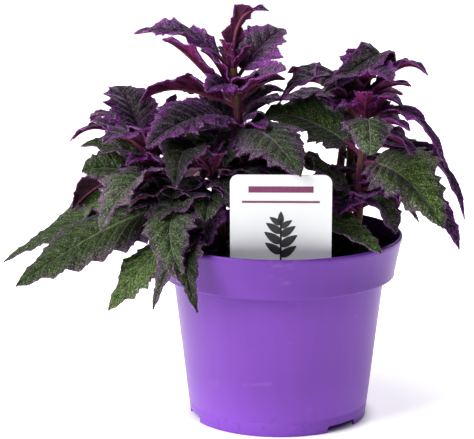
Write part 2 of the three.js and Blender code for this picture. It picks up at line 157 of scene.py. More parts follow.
# %% [markdown]
# ## Shader maths as plain sums
# A finish that varies over a surface is a sum of patterns: where a vein runs, how near the
# leaf's edge is, how speckled it is. Wiring a node for every plus and times by hand hides
# the idea, so a small class wraps a node's output and overloads the operators. Each sum
# then reads as a formula and adds its own Math nodes.

# %% Wires
class Wire:
    """A node's output, which adds Math nodes when it is used in a sum."""

    def __init__(self, finish, node, output=0):
        self.finish = finish
        self.node = node
        self.socket = node.outputs[output]

    def math(self, operation, *others, swap=False):
        values = [self, *others]
        if swap:
            values.reverse()
        inputs = dict(enumerate(values))
        return self.finish.node("ShaderNodeMath", {"operation": operation}, inputs)

    def __add__(self, other):
        return self.math("ADD", other)

    def __sub__(self, other):
        return self.math("SUBTRACT", other)

    def __rsub__(self, other):
        return self.math("SUBTRACT", other, swap=True)

    def __mul__(self, other):
        return self.math("MULTIPLY", other)

    __radd__ = __add__
    __rmul__ = __mul__

    def size(self):
        return self.math("ABSOLUTE")

    def part(self):
        return self.math("FRACT")

    def most(self, other):
        return self.math("MAXIMUM", other)

    def step(self, low, high):
        """0 up to low, 1 from high on, and a smooth rise between them."""
        settings = {"interpolation_type": "SMOOTHSTEP"}
        inputs = {"Value": self, "From Min": low, "From Max": high}
        return self.finish.node("ShaderNodeMapRange", settings, inputs)


print("a wire knows:", [name for name in vars(Wire) if not name.startswith("_")])

# %% [markdown]
# ## Materials and their patterns
# Every finish in this lesson is one Principled shader with patterns wired into its sockets.
# Another small class holds the material in the making. All its nodes come from one method,
# which takes the node's type, its settings and what its inputs hold, and the patterns that
# come back often, such as noise, have a method each.

# %% Finishes
BLACK = (0, 0, 0)


class Finish:
    """A material in the making, with its shader."""

    def __init__(self, name, **constants):
        self.material = bpy.data.materials.new(name)
        self.material.use_nodes = True
        self.tree = self.material.node_tree
        self.shader = self.tree.nodes["Principled BSDF"]
        self.set(**constants)

    def set(self, **values):
        """Fills the shader's own sockets, named in lower case with low lines."""
        for name, value in values.items():
            words = name.replace("ior", "IOR").split("_")
            title = " ".join(w if w == "IOR" else w.capitalize() for w in words)
            self.fill(self.shader.inputs[title], value)

    def fill(self, socket, value):
        if isinstance(value, Wire):
            self.tree.links.new(value.socket, socket)
        elif isinstance(value, tuple) and len(value) == 3 and socket.type == "RGBA":
            socket.default_value = (*value, 1)
        else:
            socket.default_value = value

    def node(self, kind, settings=None, inputs=None, output=0):
        made = self.tree.nodes.new(kind)
        for name, value in (settings or {}).items():
            setattr(made, name, value)
        for name, value in (inputs or {}).items():
            self.fill(made.inputs[name], value)
        return Wire(self, made, output)

    def mix(self, factor, first, second):
        """A colour between two others."""
        inputs = {0: factor, 6: first, 7: second}
        settings = {"data_type": "RGBA", "clamp_factor": True}
        return self.node("ShaderNodeMix", settings, inputs, output=2)

    def darker(self, share, colour):
        return self.mix(share, colour, BLACK)

    def place(self):
        return self.node("ShaderNodeTexCoord", output="Object")

    def numbers_of(self, vector):
        """The three numbers of a vector, each as a wire."""
        split = self.node("ShaderNodeSeparateXYZ", None, {"Vector": vector}).node
        return [Wire(self, split, axis) for axis in "XYZ"]

    def height(self):
        """How high a place is over the ground, in metres."""
        return self.numbers_of(self.place())[2]

    def noise(self, scale, detail=3, stretch=(1, 1, 1)):
        """Cloudy noise with a number of waves in a metre, drawn out along an axis."""
        vector = self.node("ShaderNodeMapping", None, {"Vector": self.place(), "Scale": stretch})
        inputs = {"Vector": vector, "Scale": scale, "Detail": detail}
        return self.node("ShaderNodeTexNoise", None, inputs)

    def cells(self, scale, feature):
        """A pattern of small rounded cells, with a number of them in a metre."""
        inputs = {"Vector": self.place(), "Scale": scale}
        return self.node("ShaderNodeTexVoronoi", {"feature": feature}, inputs)

    def bump(self, height, strength, distance):
        inputs = {"Height": height, "Strength": strength, "Distance": distance}
        self.set(normal=self.node("ShaderNodeBump", None, inputs))


def dress(made, finish):
    """Gives an object this finish and no other."""
    made.data.materials.clear()
    made.data.materials.append(finish.material)


print("a finish knows:", [name for name in vars(Finish) if not name.startswith("_")])

# %% [markdown]
# ## The floor's finish
# The sheet under the plant is matt white. Lit by lamps alone it would come out grey, so it
# also glows, faintly near the pot and more further out, where the picture is to be pure
# white. Right under the pot it doesn't glow, so that the pot keeps its soft shadow. All
# three are steps of one number, the distance from the pot's middle.

# %% Floor finish
UNDER_POT = (0.038, 0.05)
GLOW_SPREAD = (0.05, 0.16)
GLOW_NEAR, GLOW_FAR = (0.5, 0.5, 0.5), (0.95, 0.95, 0.95)

paper = Finish(
    "pale_floor", base_color=(0.93, 0.93, 0.93), roughness=0.9, specular_ior_level=0.1,
    emission_strength=1,
)
distance = paper.node("ShaderNodeVectorMath", {"operation": "LENGTH"}, {0: paper.place()}, "Value")
glow = paper.mix(distance.step(*GLOW_SPREAD), GLOW_NEAR, GLOW_FAR)
paper.set(emission_color=paper.mix(distance.step(*UNDER_POT), BLACK, glow))
dress(floor, paper)
print("finish ready:", paper.material.name)

# %% [markdown]
# ## How a leaf is laid out
# A leaf of this plant has a short stalk and a long oval blade with coarse teeth that point
# forward. Its midrib arches up from the stem and falls to the tip, its two halves fold up
# from the midrib like a shallow boat, and its margins ripple. Each of those is a number
# here: the height where the leaf leaves the stem, the place of its tip, two lifts that
# shape the arch, and the width, all in millimetres, as in the plain model, so the fine leaf
# lies where the plain one does. What is special about a leaf follows by name: its stalk,
# lean, turn, fold, roll, twist, wave and roundness, and the bite of its teeth. The last
# word before those is the leaf's colouring.

# %% The middle stem
def leaf(at, tip, lift, width, look, **more):
    """One leaf's row of numbers, under their names."""
    return {"at": at, "tip": tip, "lift": lift, "width": width, "look": look, **more}


STEMS = {}
STEMS["stem_middle"] = {
    "foot": (-12, 0, 81), "top": (-22, -2, 171), "crown": {"start": 210},
    "leaves": [
        leaf(143, (10, -55, 129), (9, 8), 33, "slate", fold=-8, roll=10, stalk=0.06),
        leaf(144, (-61, -44, 140), (11, 11), 30, "dusk", roll=-16),
        leaf(152, (-67, -2, 155), (8, 13), 25, "wine", roll=20, bite=1.3, wave=2.2),
        leaf(159, (3, -26, 174), (2, 3), 22, "haze", roll=26, stalk=0.02),
        leaf(156, (-34, -24, 163), (8, 6), 18, "plum", roll=-22),
        leaf(164, (3, 12, 188), (6, 6), 31, "mauve", turn=60, stalk=0.15),
        leaf(169, (-5, -5, 199), (12, 14), 10, "wine", lean=(-8, 0), turn=-70, bite=2.2,
             wave=2.6),
        leaf(167, (-69, -6, 188), (18, 10), 14, "haze", roll=-30, stalk=0.15, bite=1.6, wave=2),
        leaf(153, (-54, -22, 187), (13, 11), 14, "flush", lean=(-7, 0), stalk=0.2),
        leaf(149, (2, 12, 158), (5, 7), 20, "dusk"),
        leaf(144, (-5, 41, 147), (8, 8), 24, "dusk"),
        leaf(149, (-36, 30, 150), (8, 8), 20, "dusk"),
        leaf(122, (16, -40, 129), (11, 8), 24, "fern"),
        leaf(118, (4, -38, 116), (8, 8), 22, "forest"),
        # painted light: this leaf's colouring is lighter than its own green, since little lamp
        # light reaches it
        leaf(92, (48, -43, 90), (9, 13), 32, "lime", roll=4, bite=0.5),
        leaf(132, (-46, 6, 133), (8, 10), 24, "forest"),
        leaf(138, (-42, 14, 144), (8, 8), 22, "dusk"),
        leaf(112, (12, -8, 112), (8, 8), 22, "forest"),
    ],
}
print("large leaves in the middle:", len(STEMS["stem_middle"]["leaves"]))

# %% [markdown]
# ## The two stems on the right
# A tall one stands behind and a shorter one in front of it. Their outer leaves hang in long
# arches, and some turn their dull red backs to the eye. A leaf that hangs like that has its
# tip far below the height where it starts, and two high lifts.

# %% The right-hand stems
STEMS["stem_right_tall"] = {
    "foot": (33, 8, 81), "top": (36, 6, 158), "crown": {"start": 150, "length": 14},
    "leaves": [
        leaf(150, (20, -17, 165), (13, 12), 26, "bronze", roll=-10, stalk=0.2),
        leaf(155, (21, -7, 160), (28, 26), 21, "bronze", lean=(26, 0), roll=30, twist=-75,
             stalk=0.2),
        leaf(158, (36, 18, 178), (4, 4), 14, "flush", turn=90, stalk=0.25),
        leaf(152, (53, -24, 168), (14, 13), 18, "plum", roll=10, stalk=0.25),
        leaf(150, (71, -2, 168), (10, 19), 16, "plum", stalk=0.3),
        leaf(147, (60, 14, 156), (8, 8), 20, "wine"),
        leaf(154, (4, 19, 166), (8, 9), 20, "wine"),
        leaf(147, (0, -6, 155), (20, 20), 25, "dusk", lean=(0, -4)),
        leaf(132, (20, 28, 146), (8, 8), 24, "forest"),
        leaf(106, (4, 22, 107), (7, 7), 22, "forest"),
    ],
}
STEMS["stem_right_front"] = {
    "foot": (37, -5, 81), "top": (41, -9, 150), "crown": {"start": 200, "length": 12},
    "leaves": [
        leaf(145, (42, -46, 137), (13, 15), 24, "mint", fold=-12, lean=(0, -14), full=0.36,
             bite=0.6),
        leaf(148, (79, -15, 126), (17, 20), 11, "plum", lean=(3, 0), roll=5, twist=25),
        leaf(136, (90, -3, 98), (17, 20), 11, "wine", lean=(8, 0), roll=10, twist=35),
        leaf(140, (66, -18, 129), (8, 9), 18, "plum"),
        leaf(126, (77, -38, 101), (13, 12), 36, "olive", roll=24),
        leaf(112, (87, -12, 85), (16, 22), 25, "plum", lean=(3, 0), roll=32),
        leaf(110, (56, -22, 95), (8, 8), 28, "slate"),
        leaf(102, (41, -30, 114), (4, 4), 13, "plum"),
        leaf(130, (-7, 5, 147), (8, 9), 27, "fern", roll=-38, full=0.5),
        leaf(109, (3, -12, 131), (2, 4), 19, "olive", roll=-25),
        leaf(103, (12, 2, 114), (6, 6), 20, "moss", roll=-25),
    ],
}
print("right-hand stems:", [name for name in STEMS if "right" in name])

# %% [markdown]
# ## The two stems on the left
# One of them leans far out to the side, so its leaves reach furthest from the pot, and a
# short one stands in front of it. The low leaves are old and green, and the largest of all
# is among them. Those nearest the eye hang over the rim, so they lean outwards to clear it.

# %% The left-hand stems
STEMS["stem_left"] = {
    "foot": (-28, -8, 81), "top": (-62, -12, 130), "bow": (4, 0), "crown": {"start": 10},
    "leaves": [
        # painted light: this leaf's colouring is lighter, since it is turned away from the lamps
        leaf(119, (-83, -47, 101), (14, 17), 33, "pewter", roll=8, stalk=0.2),
        leaf(107, (-124, -37, 72), (12, 7), 42, "moss", roll=-10, twist=-18, fold=-4, bite=0.5),
        leaf(110, (-134, -4, 76), (9, 7), 22, "moss", roll=-14, twist=-10),
        leaf(113, (-111, 8, 90), (11, 11), 28, "fresh", roll=-30, twist=-10),
        leaf(119, (-101, 3, 101), (12, 14), 27, "bronze", roll=12, twist=20, stalk=0.3),
        leaf(118, (-94, -16, 123), (1, 7), 31, "moss", roll=-35, twist=-15, stalk=0.25),
        leaf(127, (-101, 2, 135), (11, 18), 17, "dusk", stalk=0.3),
        leaf(129, (-93, 24, 141), (11, 15), 19, "dusk", stalk=0.25),
        leaf(131, (-80, 12, 160), (9, 8), 28, "dusk", stalk=0.2),
        leaf(127, (-82, -33, 140), (12, 10), 22, "dusk", stalk=0.2),
        leaf(130, (-64, -32, 146), (8, 5), 17, "plum", stalk=0.2),
        leaf(123, (-50, 22, 145), (8, 8), 23, "dusk"),
    ],
}
STEMS["stem_front_left"] = {
    "foot": (-26, -22, 81), "top": (-31, -26, 128),
    "crown": {"start": 30, "length": 13, "count": 4},
    "leaves": [
        leaf(110, (-44, -60, 79), (17, 18), 27, "pine", fold=4, lean=(-17, 0), stalk=0.25),
        leaf(97, (-37, -69, 68), (10, 20), 16, "forest", lean=(-13, 0), stalk=0.25),
        leaf(116, (-35, -41, 90), (10, 10), 22, "dusk", stalk=0.3),
        leaf(102, (-80, -43, 62), (13, 11), 31, "fresh", roll=5, twist=-37, fold=-5, stalk=0.3),
        leaf(99, (-58, -60, 67), (14, 20), 17, "slate", stalk=0.3),
        leaf(121, (-20, -42, 108), (8, 8), 18, "slate"),
        # painted shade: this leaf's colouring is darkened for the shade it lies in
        leaf(121, (-48, -44, 121), (22, 23), 30, "night", lean=(-4, 0), roll=-10, stalk=0.2),
    ],
}
print("the largest leaf is", max(row["width"] for row in STEMS["stem_left"]["leaves"]), "mm wide")

# %% [markdown]
# ## The two stems at the back
# Seen from the front, nothing shows of these. But a plant is turned round on a window
# sill, so the back has stems of its own, with leaves in the manner of those in front.

# %% The back stems
STEMS["stem_back_left"] = {
    "foot": (-18, 25, 81), "top": (-34, 44, 136), "crown": {"start": 150},
    "leaves": [
        leaf(126, (-70, 70, 118), (16, 16), 26, "dusk"),
        leaf(132, (-30, 88, 124), (16, 16), 26, "slate"),
        leaf(133, (-66, 42, 137), (10, 12), 23, "plum", stalk=0.2),
        leaf(114, (-84, 46, 92), (14, 16), 30, "moss"),
        leaf(107, (-52, 90, 88), (18, 18), 30, "slate"),
        leaf(100, (-10, 84, 84), (18, 18), 28, "moss"),
        leaf(127, (-6, 58, 138), (8, 8), 22, "dusk"),
        leaf(116, (-48, 8, 118), (8, 8), 26, "forest"),
        leaf(121, (-4, 10, 126), (8, 8), 22, "forest"),
    ],
}
STEMS["stem_back_right"] = {
    "foot": (26, 30, 81), "top": (35, 50, 146), "crown": {"start": 250},
    "leaves": [
        leaf(136, (54, 74, 130), (14, 14), 26, "dusk"),
        leaf(142, (10, 90, 134), (14, 14), 26, "slate"),
        leaf(141, (62, 40, 146), (8, 10), 23, "plum"),
        leaf(112, (76, 62, 88), (11, 14), 30, "olive"),
        leaf(104, (36, 92, 80), (14, 15), 30, "moss"),
        leaf(104, (70, 28, 90), (14, 16), 28, "moss"),
        leaf(138, (-6, 54, 146), (6, 8), 22, "dusk"),
        leaf(106, (4, 50, 97), (6, 6), 26, "forest"),
    ],
}
print("stems:", len(STEMS), "large leaves:", sum(len(s["leaves"]) for s in STEMS.values()))

# %% [markdown]
# ## Leaves deep inside
# Between the large leaves a real plant is full of half-hidden ones, mostly dark, and
# without them the light would fall right through it. The plain model leaves them out. They
# are kept in lists of their own, because they get fewer hairs later on.

# %% Inner leaves in the middle and on the right
STEMS["stem_middle"]["inner"] = [
    leaf(128, (-52, -2, 120), (8, 8), 26, "forest"),
    leaf(118, (-38, 22, 112), (8, 8), 28, "forest"),
    leaf(134, (-44, -16, 130), (8, 6), 20, "dusk", roll=-15),
    leaf(126, (8, -16, 128), (8, 6), 24, "forest", roll=15),
    leaf(120, (8, -24, 118), (8, 6), 32, "forest"),
    leaf(136, (6, 8, 136), (8, 8), 24, "forest"),
    leaf(104, (-2, -30, 110), (8, 8), 24, "forest"),
    leaf(135, (4, -32, 129), (6, 4), 26, "forest"),
    leaf(138, (-25, -36, 130), (6, 6), 18, "forest"),
    leaf(140, (-6, -26, 146), (3, 3), 12, "wine"),
    leaf(160, (-12, -23, 171), (2, 2), 16, "haze", roll=15, stalk=0.05),
    leaf(156, (-37, -12, 181), (7, 7), 13, "flush", roll=-20, stalk=0.1),
    leaf(130, (-48, -24, 134), (6, 6), 24, "forest", roll=-20),
    leaf(114, (12, -24, 112), (8, 8), 24, "forest", roll=15),
    leaf(124, (22, -20, 124), (6, 6), 24, "fern", roll=10),
    leaf(141, (-48, 24, 150), (6, 6), 22, "dusk"),
    leaf(154, (3, 4, 165), (6, 6), 18, "dusk"),
]
STEMS["stem_right_tall"]["inner"] = [
    leaf(110, (16, -6, 102), (6, 6), 24, "forest"),
    leaf(120, (48, 22, 118), (8, 8), 24, "forest"),
    leaf(108, (22, -16, 100), (8, 8), 22, "forest", roll=15),
    leaf(104, (26, 30, 104), (8, 8), 24, "forest"),
    leaf(152, (46, -8, 170), (4, 4), 13, "plum"),
    leaf(150, (26, -8, 152), (6, 5), 16, "wine"),
    leaf(146, (58, -4, 146), (6, 6), 18, "dusk"),
    leaf(150, (9, 4, 167), (9, 7), 18, "forest"),
    leaf(151, (63, -4, 163), (5, 8), 15, "plum"),
]
STEMS["stem_right_front"]["inner"] = [
    leaf(112, (50, -20, 122), (2, 3), 9, "plum"),
    leaf(114, (52, -14, 118), (3, 3), 10, "plum"),
    leaf(142, (62, -20, 144), (6, 7), 15, "plum"),
    leaf(144, (54, -18, 160), (7, 5), 10, "crown", fold=15, stalk=0.25),
    leaf(143, (29, -20, 156), (8, 5), 9, "crown", fold=15, stalk=0.25),
    leaf(145, (41, -24, 163), (3, 5), 11, "crown", fold=15, stalk=0.25),
    leaf(134, (68, -8, 124), (8, 8), 20, "dusk"),
    leaf(120, (26, 4, 112), (8, 8), 22, "forest"),
    leaf(118, (80, -6, 107), (8, 16), 22, "moss", roll=10),
    leaf(106, (56, 6, 104), (8, 8), 26, "forest"),
    leaf(100, (28, -24, 104), (8, 8), 22, "wine"),
]
print("inner leaves so far:", sum(len(s.get("inner", ())) for s in STEMS.values()))

# %% Inner leaves on the left
STEMS["stem_front_left"]["inner"] = [
    leaf(118, (-8, -34, 124), (6, 6), 18, "forest"),
    leaf(119, (-18, -45, 117), (2, 3), 25, "forest"),
    leaf(112, (-34, -50, 106), (10, 8), 26, "forest"),
    leaf(108, (-12, -44, 104), (8, 8), 20, "forest"),
    leaf(104, (-52, -38, 96), (8, 8), 22, "forest"),
    leaf(106, (-58, -44, 104), (10, 10), 32, "forest"),
    leaf(124, (-46, -20, 132), (4, 4), 12, "plum"),
    leaf(111, (-71, -30, 111), (8, 8), 24, "forest"),
    leaf(118, (-48, -37, 115), (4, 4), 20, "forest"),
]
STEMS["stem_left"]["inner"] = [
    leaf(112, (-70, 12, 108), (8, 8), 26, "forest"),
    leaf(104, (-64, -34, 96), (8, 8), 24, "forest"),
    leaf(114, (-50, -36, 114), (6, 6), 26, "forest"),
    leaf(126, (-72, -26, 128), (4, 5), 13, "plum"),
    leaf(128, (-52, -20, 136), (4, 4), 12, "plum"),
    leaf(124, (-55, -34, 131), (5, 5), 15, "dusk"),
    leaf(120, (-95, -8, 134), (8, 8), 20, "moss", roll=-20),
    leaf(129, (-50, 8, 157), (4, 4), 13, "plum"),
]
print("inner leaves:", sum(len(s.get("inner", ())) for s in STEMS.values()))

# %% [markdown]
# ## The plant's colouring
# The same leaf is green where it is old and low, and violet where it is young, because the
# violet lies in the hairs and young leaves have most of them. Three numbers are enough to
# tell one leaf from the next: how much violet covers it, how light it is, and how warm its
# green is. They are stored on the leaf's vertices, so that one finish serves all leaves.

# %% Colourings
LOOKS = {
    "plum": (0.80, 0.50, 0.2),
    "dusk": (0.50, 0.35, 0.2),
    "wine": (0.75, 0.15, 0.1),
    "bronze": (0.4, 0.25, 0.6),
    "haze": (0.65, 0.95, 0.2),
    "mauve": (0.6, 0.9, 0.2),
    # this grey-green is made lighter as painted light, for a leaf turned away from the lamps
    "pewter": (0.22, 1.0, 0.3),
    "flush": (1.0, 0.8, 0.1),
    "slate": (0.25, 0.60, 0.25),
    "forest": (0.10, 0.20, 0.4),
    "moss": (0.10, 0.50, 0.5),
    "pine": (0.12, 0.55, 0.3),
    # this colouring is darkened as painted shade, for a low leaf that lies in the others' shade
    "night": (0.05, 0.0, 0.4),
    "fern": (0.05, 0.5, 0.45),
    "mint": (0.22, 0.8, 0.3),
    "olive": (0.10, 1.0, 0.8),
    "fresh": (0.0, 0.80, 0.95),
    # this vivid green is made lighter as painted light, for a low leaf that little lamp light
    # reaches
    "lime": (0.0, 1.0, 0.7),
    "crown": (1.00, 0.85, 0.2),
}
print("colourings:", ", ".join(LOOKS))

# %% [markdown]
# ## Stems and the tufts at their tops
# A soft stem isn't quite straight, so its middle is a shallow bow between foot and top. The
# youngest leaves crowd at that top, each a golden turn on from the last, as in most plants,
# which keeps one from shading the next. Placing them by hand would be slow work. One rule
# makes them all: a ring of young leaves, and a ring of steeper buds that closes the middle.

# %% Stems and tufts
GOLDEN_TURN = 137.5
FEWEST_CELLS = 3
CROWN = {"length": 16, "count": 3}
YOUNG_LEAVES = {
    "turn": 0, "reach": (0.45, 0.15), "rise": (0.9, -0.16), "drop": (0, 2.6),
    "lift": (3, 3), "width": 8, "fold": 20, "stalk": 0.3, "wave": 0.5,
}
BUD_COUNT, BUD_SIZE = 5, 0.6
BUDS = {
    "turn": 70, "reach": (0.3, 0.08), "rise": (1, -0.1), "drop": (1, 0),
    "lift": (1, 2), "width": 5, "fold": 28, "stalk": 0.15, "wave": 0.4,
}


def stem_point(stem, height):
    """The middle of a stem at a height: a shallow bow between its foot and its top."""
    foot, top = np.array(stem["foot"], float), np.array(stem["top"], float)
    share = max(0, (height - foot[2]) / (top[2] - foot[2]))
    bow = np.array(stem.get("bow", (0, 0)), float)
    flat = foot[:2] + (top[:2] - foot[:2]) * share + bow * 4 * share * (1 - share)
    return np.array([*flat, height])


def ring_of_leaves(stem, count, length, turn, reach, rise, drop, **more):
    """Young leaves round a stem's top.

    Reach and rise are shares of the length, and drop is how far below the top a leaf
    starts. Each of the three is a pair: the first leaf's number, and what each next adds.
    """
    x, y, z = stem["top"]
    made = []
    for k in range(count):
        angle = math.radians(stem["crown"]["start"] + turn + k * GOLDEN_TURN)
        out = length * (reach[0] + reach[1] * k)
        up = length * (rise[0] + rise[1] * k)
        tip = (x + out * math.cos(angle), y + out * math.sin(angle), z + up)
        at = z - (drop[0] + drop[1] * k)
        made.append(leaf(at, tip, look="crown", cells=FEWEST_CELLS, **more))
    return made


def tuft(stem):
    """The young leaves at a stem's top, and the buds that close it."""
    crown = {**CROWN, **stem["crown"]}
    young = ring_of_leaves(stem, crown["count"], crown["length"], **YOUNG_LEAVES)
    return young + ring_of_leaves(stem, BUD_COUNT, BUD_SIZE * crown["length"], **BUDS)


print("young leaves in the tufts:", sum(len(tuft(stem)) for stem in STEMS.values()))

# %% [markdown]
# ## A leaf's arch
# A leaf stands off its stem in an arch, which could be drawn as a curve by hand. One formula
# does it for all of them: a Bezier curve with four handles, of which the two in the middle
# are pushed up by the leaf's lifts and aside by its lean. For any share of its length the
# arch also tells which way is along, to the side and up. Roll tips the side over for the
# whole leaf, and twist does so more and more towards the tip.

# %% The arch
ARCH_PLACES = (0.33, 0.7)


class Arch:
    """A leaf's midrib and the frame that its blade is laid out in, in millimetres."""

    def __init__(self, stem, spec):
        start = stem_point(stem, spec["at"])
        chord = np.array(spec["tip"], float) - start
        lean = (*spec.get("lean", (0, 0)), 0)
        bends = [
            start + chord * share + np.array(lean) + np.array((0, 0, rise))
            for share, rise in zip(ARCH_PLACES, spec["lift"])
        ]
        self.handles = np.array([start, *bends, start + chord])
        self.length = float(np.linalg.norm(chord))
        heading = math.atan2(chord[1], chord[0])
        if "turn" in spec:
            heading = math.radians(spec["turn"])
        self.across = np.array([-math.sin(heading), math.cos(heading), 0])
        self.roll = spec.get("roll", 0)
        self.twist = spec.get("twist", 0)

    def at(self, s):
        """Points of the midrib, with the directions along, to the side and up, at shares s."""
        s = np.asarray(s, float)[:, None]
        a, b, c, d = self.handles
        r = 1 - s
        point = r**3 * a + 3 * r * r * s * b + 3 * r * s * s * c + s**3 * d
        along = r * r * (b - a) + 2 * r * s * (c - b) + s * s * (d - c)
        along /= np.linalg.norm(along, axis=1, keepdims=True)
        side = self.across - along * (along @ self.across)[:, None]
        side /= np.linalg.norm(side, axis=1, keepdims=True)
        up = np.cross(along, side)
        turn = np.radians(self.roll + self.twist * s)
        side = side * np.cos(turn) + up * np.sin(turn)
        return point, along, side, np.cross(along, side)


LONG_LEAF = STEMS["stem_left"]["leaves"][1]
print("the longest leaf spans", round(Arch(STEMS["stem_left"], LONG_LEAF).length), "mm")

# %% [markdown]
# ## The outline and its teeth
# Laid flat, a blade is a pointed oval, fuller towards the stalk, whose margin is cut into
# coarse teeth that point forward. The oval is a bent sine. The teeth repeat, so one short
# list of places along a tooth, and how far the margin reaches at each, serves for all of
# them. A mesh can only show a point where it has a vertex, and these places are where the
# rows of the blade's mesh will lie.

# %% Outline and teeth
CELL_STATIONS = (0, 0.07, 0.14, 0.21, 0.29, 0.37, 0.46, 0.55, 0.64, 0.73, 0.82, 0.91)
CELL_REACH = (0.86, 0.9, 0.99, 1.04, 0.95, 0.99, 1.05, 1.1, 1.16, 1.02, 0.95, 0.9)
TOOTH_PLACE = 0.64
OUTLINE_SKEW = 0.72
OUTLINE_FULLNESS = 0.8
OUTLINE_TAPER = 0.22
OUTLINE_BASE = 0.05


def outline_share(q, full):
    """The blade's half-width at a share q of its length, as a share of its widest."""
    rounded = np.sin(np.pi * np.clip(q, 0, 1) ** OUTLINE_SKEW) ** full
    return rounded * (1 - OUTLINE_TAPER * q) + OUTLINE_BASE * (1 - q)


def blade_rows(cells):
    """The rows of a blade: shares of its length, and how far its teeth reach there."""
    shares = [(i + place) / cells for i in range(cells) for place in CELL_STATIONS]
    return np.array([*shares, 1.0]), np.array([*(CELL_REACH * cells), 1.0])


print("rows for each tooth:", len(CELL_STATIONS))

# %% [markdown]
# ## A blade's margin
# The blade of the real leaf could be sculpted, or cut from a plane and bent by hand, but
# there are more than a hundred of them. So each starts as a flat grid, whose middle column
# is the midrib, and one rule moves every vertex to its place. Its first part says how far
# from the midrib a place lies. A little chance makes one tooth deeper than the next, so
# that no two leaves look like copies.

# %% The margin's rule
PETIOLE_HALF = 1.1
BITE = (0.5, 1.7)


def per_tooth(values, cells, q, w):
    """Spreads one value for each tooth of both margins over the blade's grid."""
    cell_of = np.minimum((q * cells).astype(int), cells - 1)
    return values[cell_of, (w > 0).astype(int)]


def margin_reach(spec, cells, q, w, tooth):
    """How far from the midrib each place lies, in millimetres."""
    out = np.abs(w)
    bite = spec.get("bite", 1) * per_tooth(RANDOM.uniform(*BITE, (cells, 2)), cells, q, w)
    outline = outline_share(q, spec.get("full", OUTLINE_FULLNESS))
    reach = spec["width"] / 2 * outline * (1 + (tooth - 1) * bite * out**3)
    return out * np.maximum(reach, PETIOLE_HALF * (1 - q) ** 0.5)


print("a tooth's depth varies from", BITE[0], "to", BITE[1])

# %% [markdown]
# ## A blade's relief
# The blade is thin and far from flat. Its margin waves and ruffles, it is quilted between
# the side veins, and the midrib lies in a groove. The second part of the rule adds these up
# as a height over the flat blade. All but the wave grow with the leaf's width, because a
# small leaf is smoother, and chance again lets one tooth curl more than the next.

# %% The relief's rule
VEINS_PER_CELL = 2
FOLD_SHAPE = 0.09
WAVE, WAVES, WAVE_LAG = 1.2, 2.4, 1.1
BULGE_WIDTH = 15
QUILT_DEPTH = 0.6
RUFFLE_DEPTH = 0.7
GROOVE_DEPTH, GROOVE_HALF = 0.45, 0.1
DRIFT, DRIFT_WAVES, DRIFT_ACROSS = 0.8, 1.3, 5
CURL = 0.8


def blade_relief(spec, cells, q, w, reach):
    """How far each place stands over the flat blade, in millimetres."""
    out = np.abs(w)
    curl = per_tooth(RANDOM.normal(0, CURL, (cells, 2)), cells, q, w)
    rise = spec.get("wave", WAVE) * np.sin(2 * np.pi * WAVES * q + WAVE_LAG * np.sign(w))
    rise = rise * np.sin(np.pi * q**0.8) * out**1.7
    phase = q * cells - TOOTH_PLACE
    bulge = np.sin(np.pi * np.clip(q, 0, 1)) ** 0.5 * (spec["width"] / 2) / BULGE_WIDTH
    between = 0.5 - 0.5 * np.cos(2 * np.pi * phase * VEINS_PER_CELL)
    rise = rise + QUILT_DEPTH * bulge * between * np.sin(np.pi * out) ** 0.7
    rise = rise - RUFFLE_DEPTH * bulge * np.cos(2 * np.pi * phase) * out**4
    rise = rise + curl * bulge * np.sin(np.pi * (q * cells % 1)) * out**3
    rise = rise - GROOVE_DEPTH * bulge * np.exp(-((out / GROOVE_HALF) ** 2))
    rise = rise + FOLD_SHAPE * reach / np.maximum(out, 0.01) * np.sin(np.pi * out)
    starts = RANDOM.uniform(0, 2 * np.pi, 2)
    drift = np.sin(2 * np.pi * DRIFT_WAVES * q + starts[0]) * out
    drift = drift + np.sin(DRIFT_ACROSS * w + starts[1]) * out
    return rise + DRIFT * bulge * drift * np.sin(np.pi * q)


print("side veins between two teeth:", VEINS_PER_CELL)

# %% [markdown]
# ## The whole blade
# The last part lays the grid along the leaf's arch. Its rows slant forward like the side
# veins of the real leaf, and the two halves are folded up from the midrib. A blade also
# keeps which way is along, to the side and up at each of its places, because the hairs are
# to stand square to it. Young leaves have fewer columns, since they are so small.

# %% The blade
CELL_LENGTH = 10
MOST_CELLS = 7
BLADE_COLUMNS = (0.08, 0.22, 0.4, 0.6, 0.78, 0.9, 1)
SMALL_COLUMNS = (0.15, 0.4, 0.7, 1)
VEIN_SLANT = 0.23
STALK_SHARE = 0.14
FOLD = 14


def unit(vectors):
    return vectors / np.linalg.norm(vectors, axis=-1, keepdims=True)


class Blade:
    """The places of a blade's grid, row by row from stalk to tip, in millimetres."""

    def __init__(self, stem, spec):
        self.spec = spec
        self.arch = Arch(stem, spec)
        fitting = round(self.arch.length / CELL_LENGTH)
        self.cells = spec.get("cells") or min(MOST_CELLS, max(FEWEST_CELLS, fitting))
        self.stalk = spec.get("stalk", STALK_SHARE)
        self.small = spec["look"] == "crown"
        half = SMALL_COLUMNS if self.small else BLADE_COLUMNS
        self.columns = np.array([*(-c for c in reversed(half)), 0, *half])
        self.share, tooth = blade_rows(self.cells)
        q, w = self.share[:, None], self.columns[None, :]
        reach = margin_reach(spec, self.cells, q, w, tooth[:, None])
        rise = blade_relief(spec, self.cells, q, w, reach)
        slant = VEIN_SLANT * (1 - np.abs(w)) * np.sin(np.pi * q)
        s = self.stalk + (1 - self.stalk) * (q - slant)
        point, _, side, up = self.arch.at(s.ravel())
        fold = math.radians(spec.get("fold", FOLD))
        sideways = (np.sign(w) * reach * math.cos(fold)).reshape(-1, 1)
        upwards = (reach * math.sin(fold) + rise).reshape(-1, 1)
        places = point + side * sideways + up * upwards
        self.places = places.reshape(len(self.share), len(self.columns), 3)
        along = np.gradient(self.places, axis=0)
        sidewards = np.gradient(self.places, axis=1)
        self.along, self.side = unit(along), unit(sidewards)
        self.up = unit(np.cross(along, sidewards))


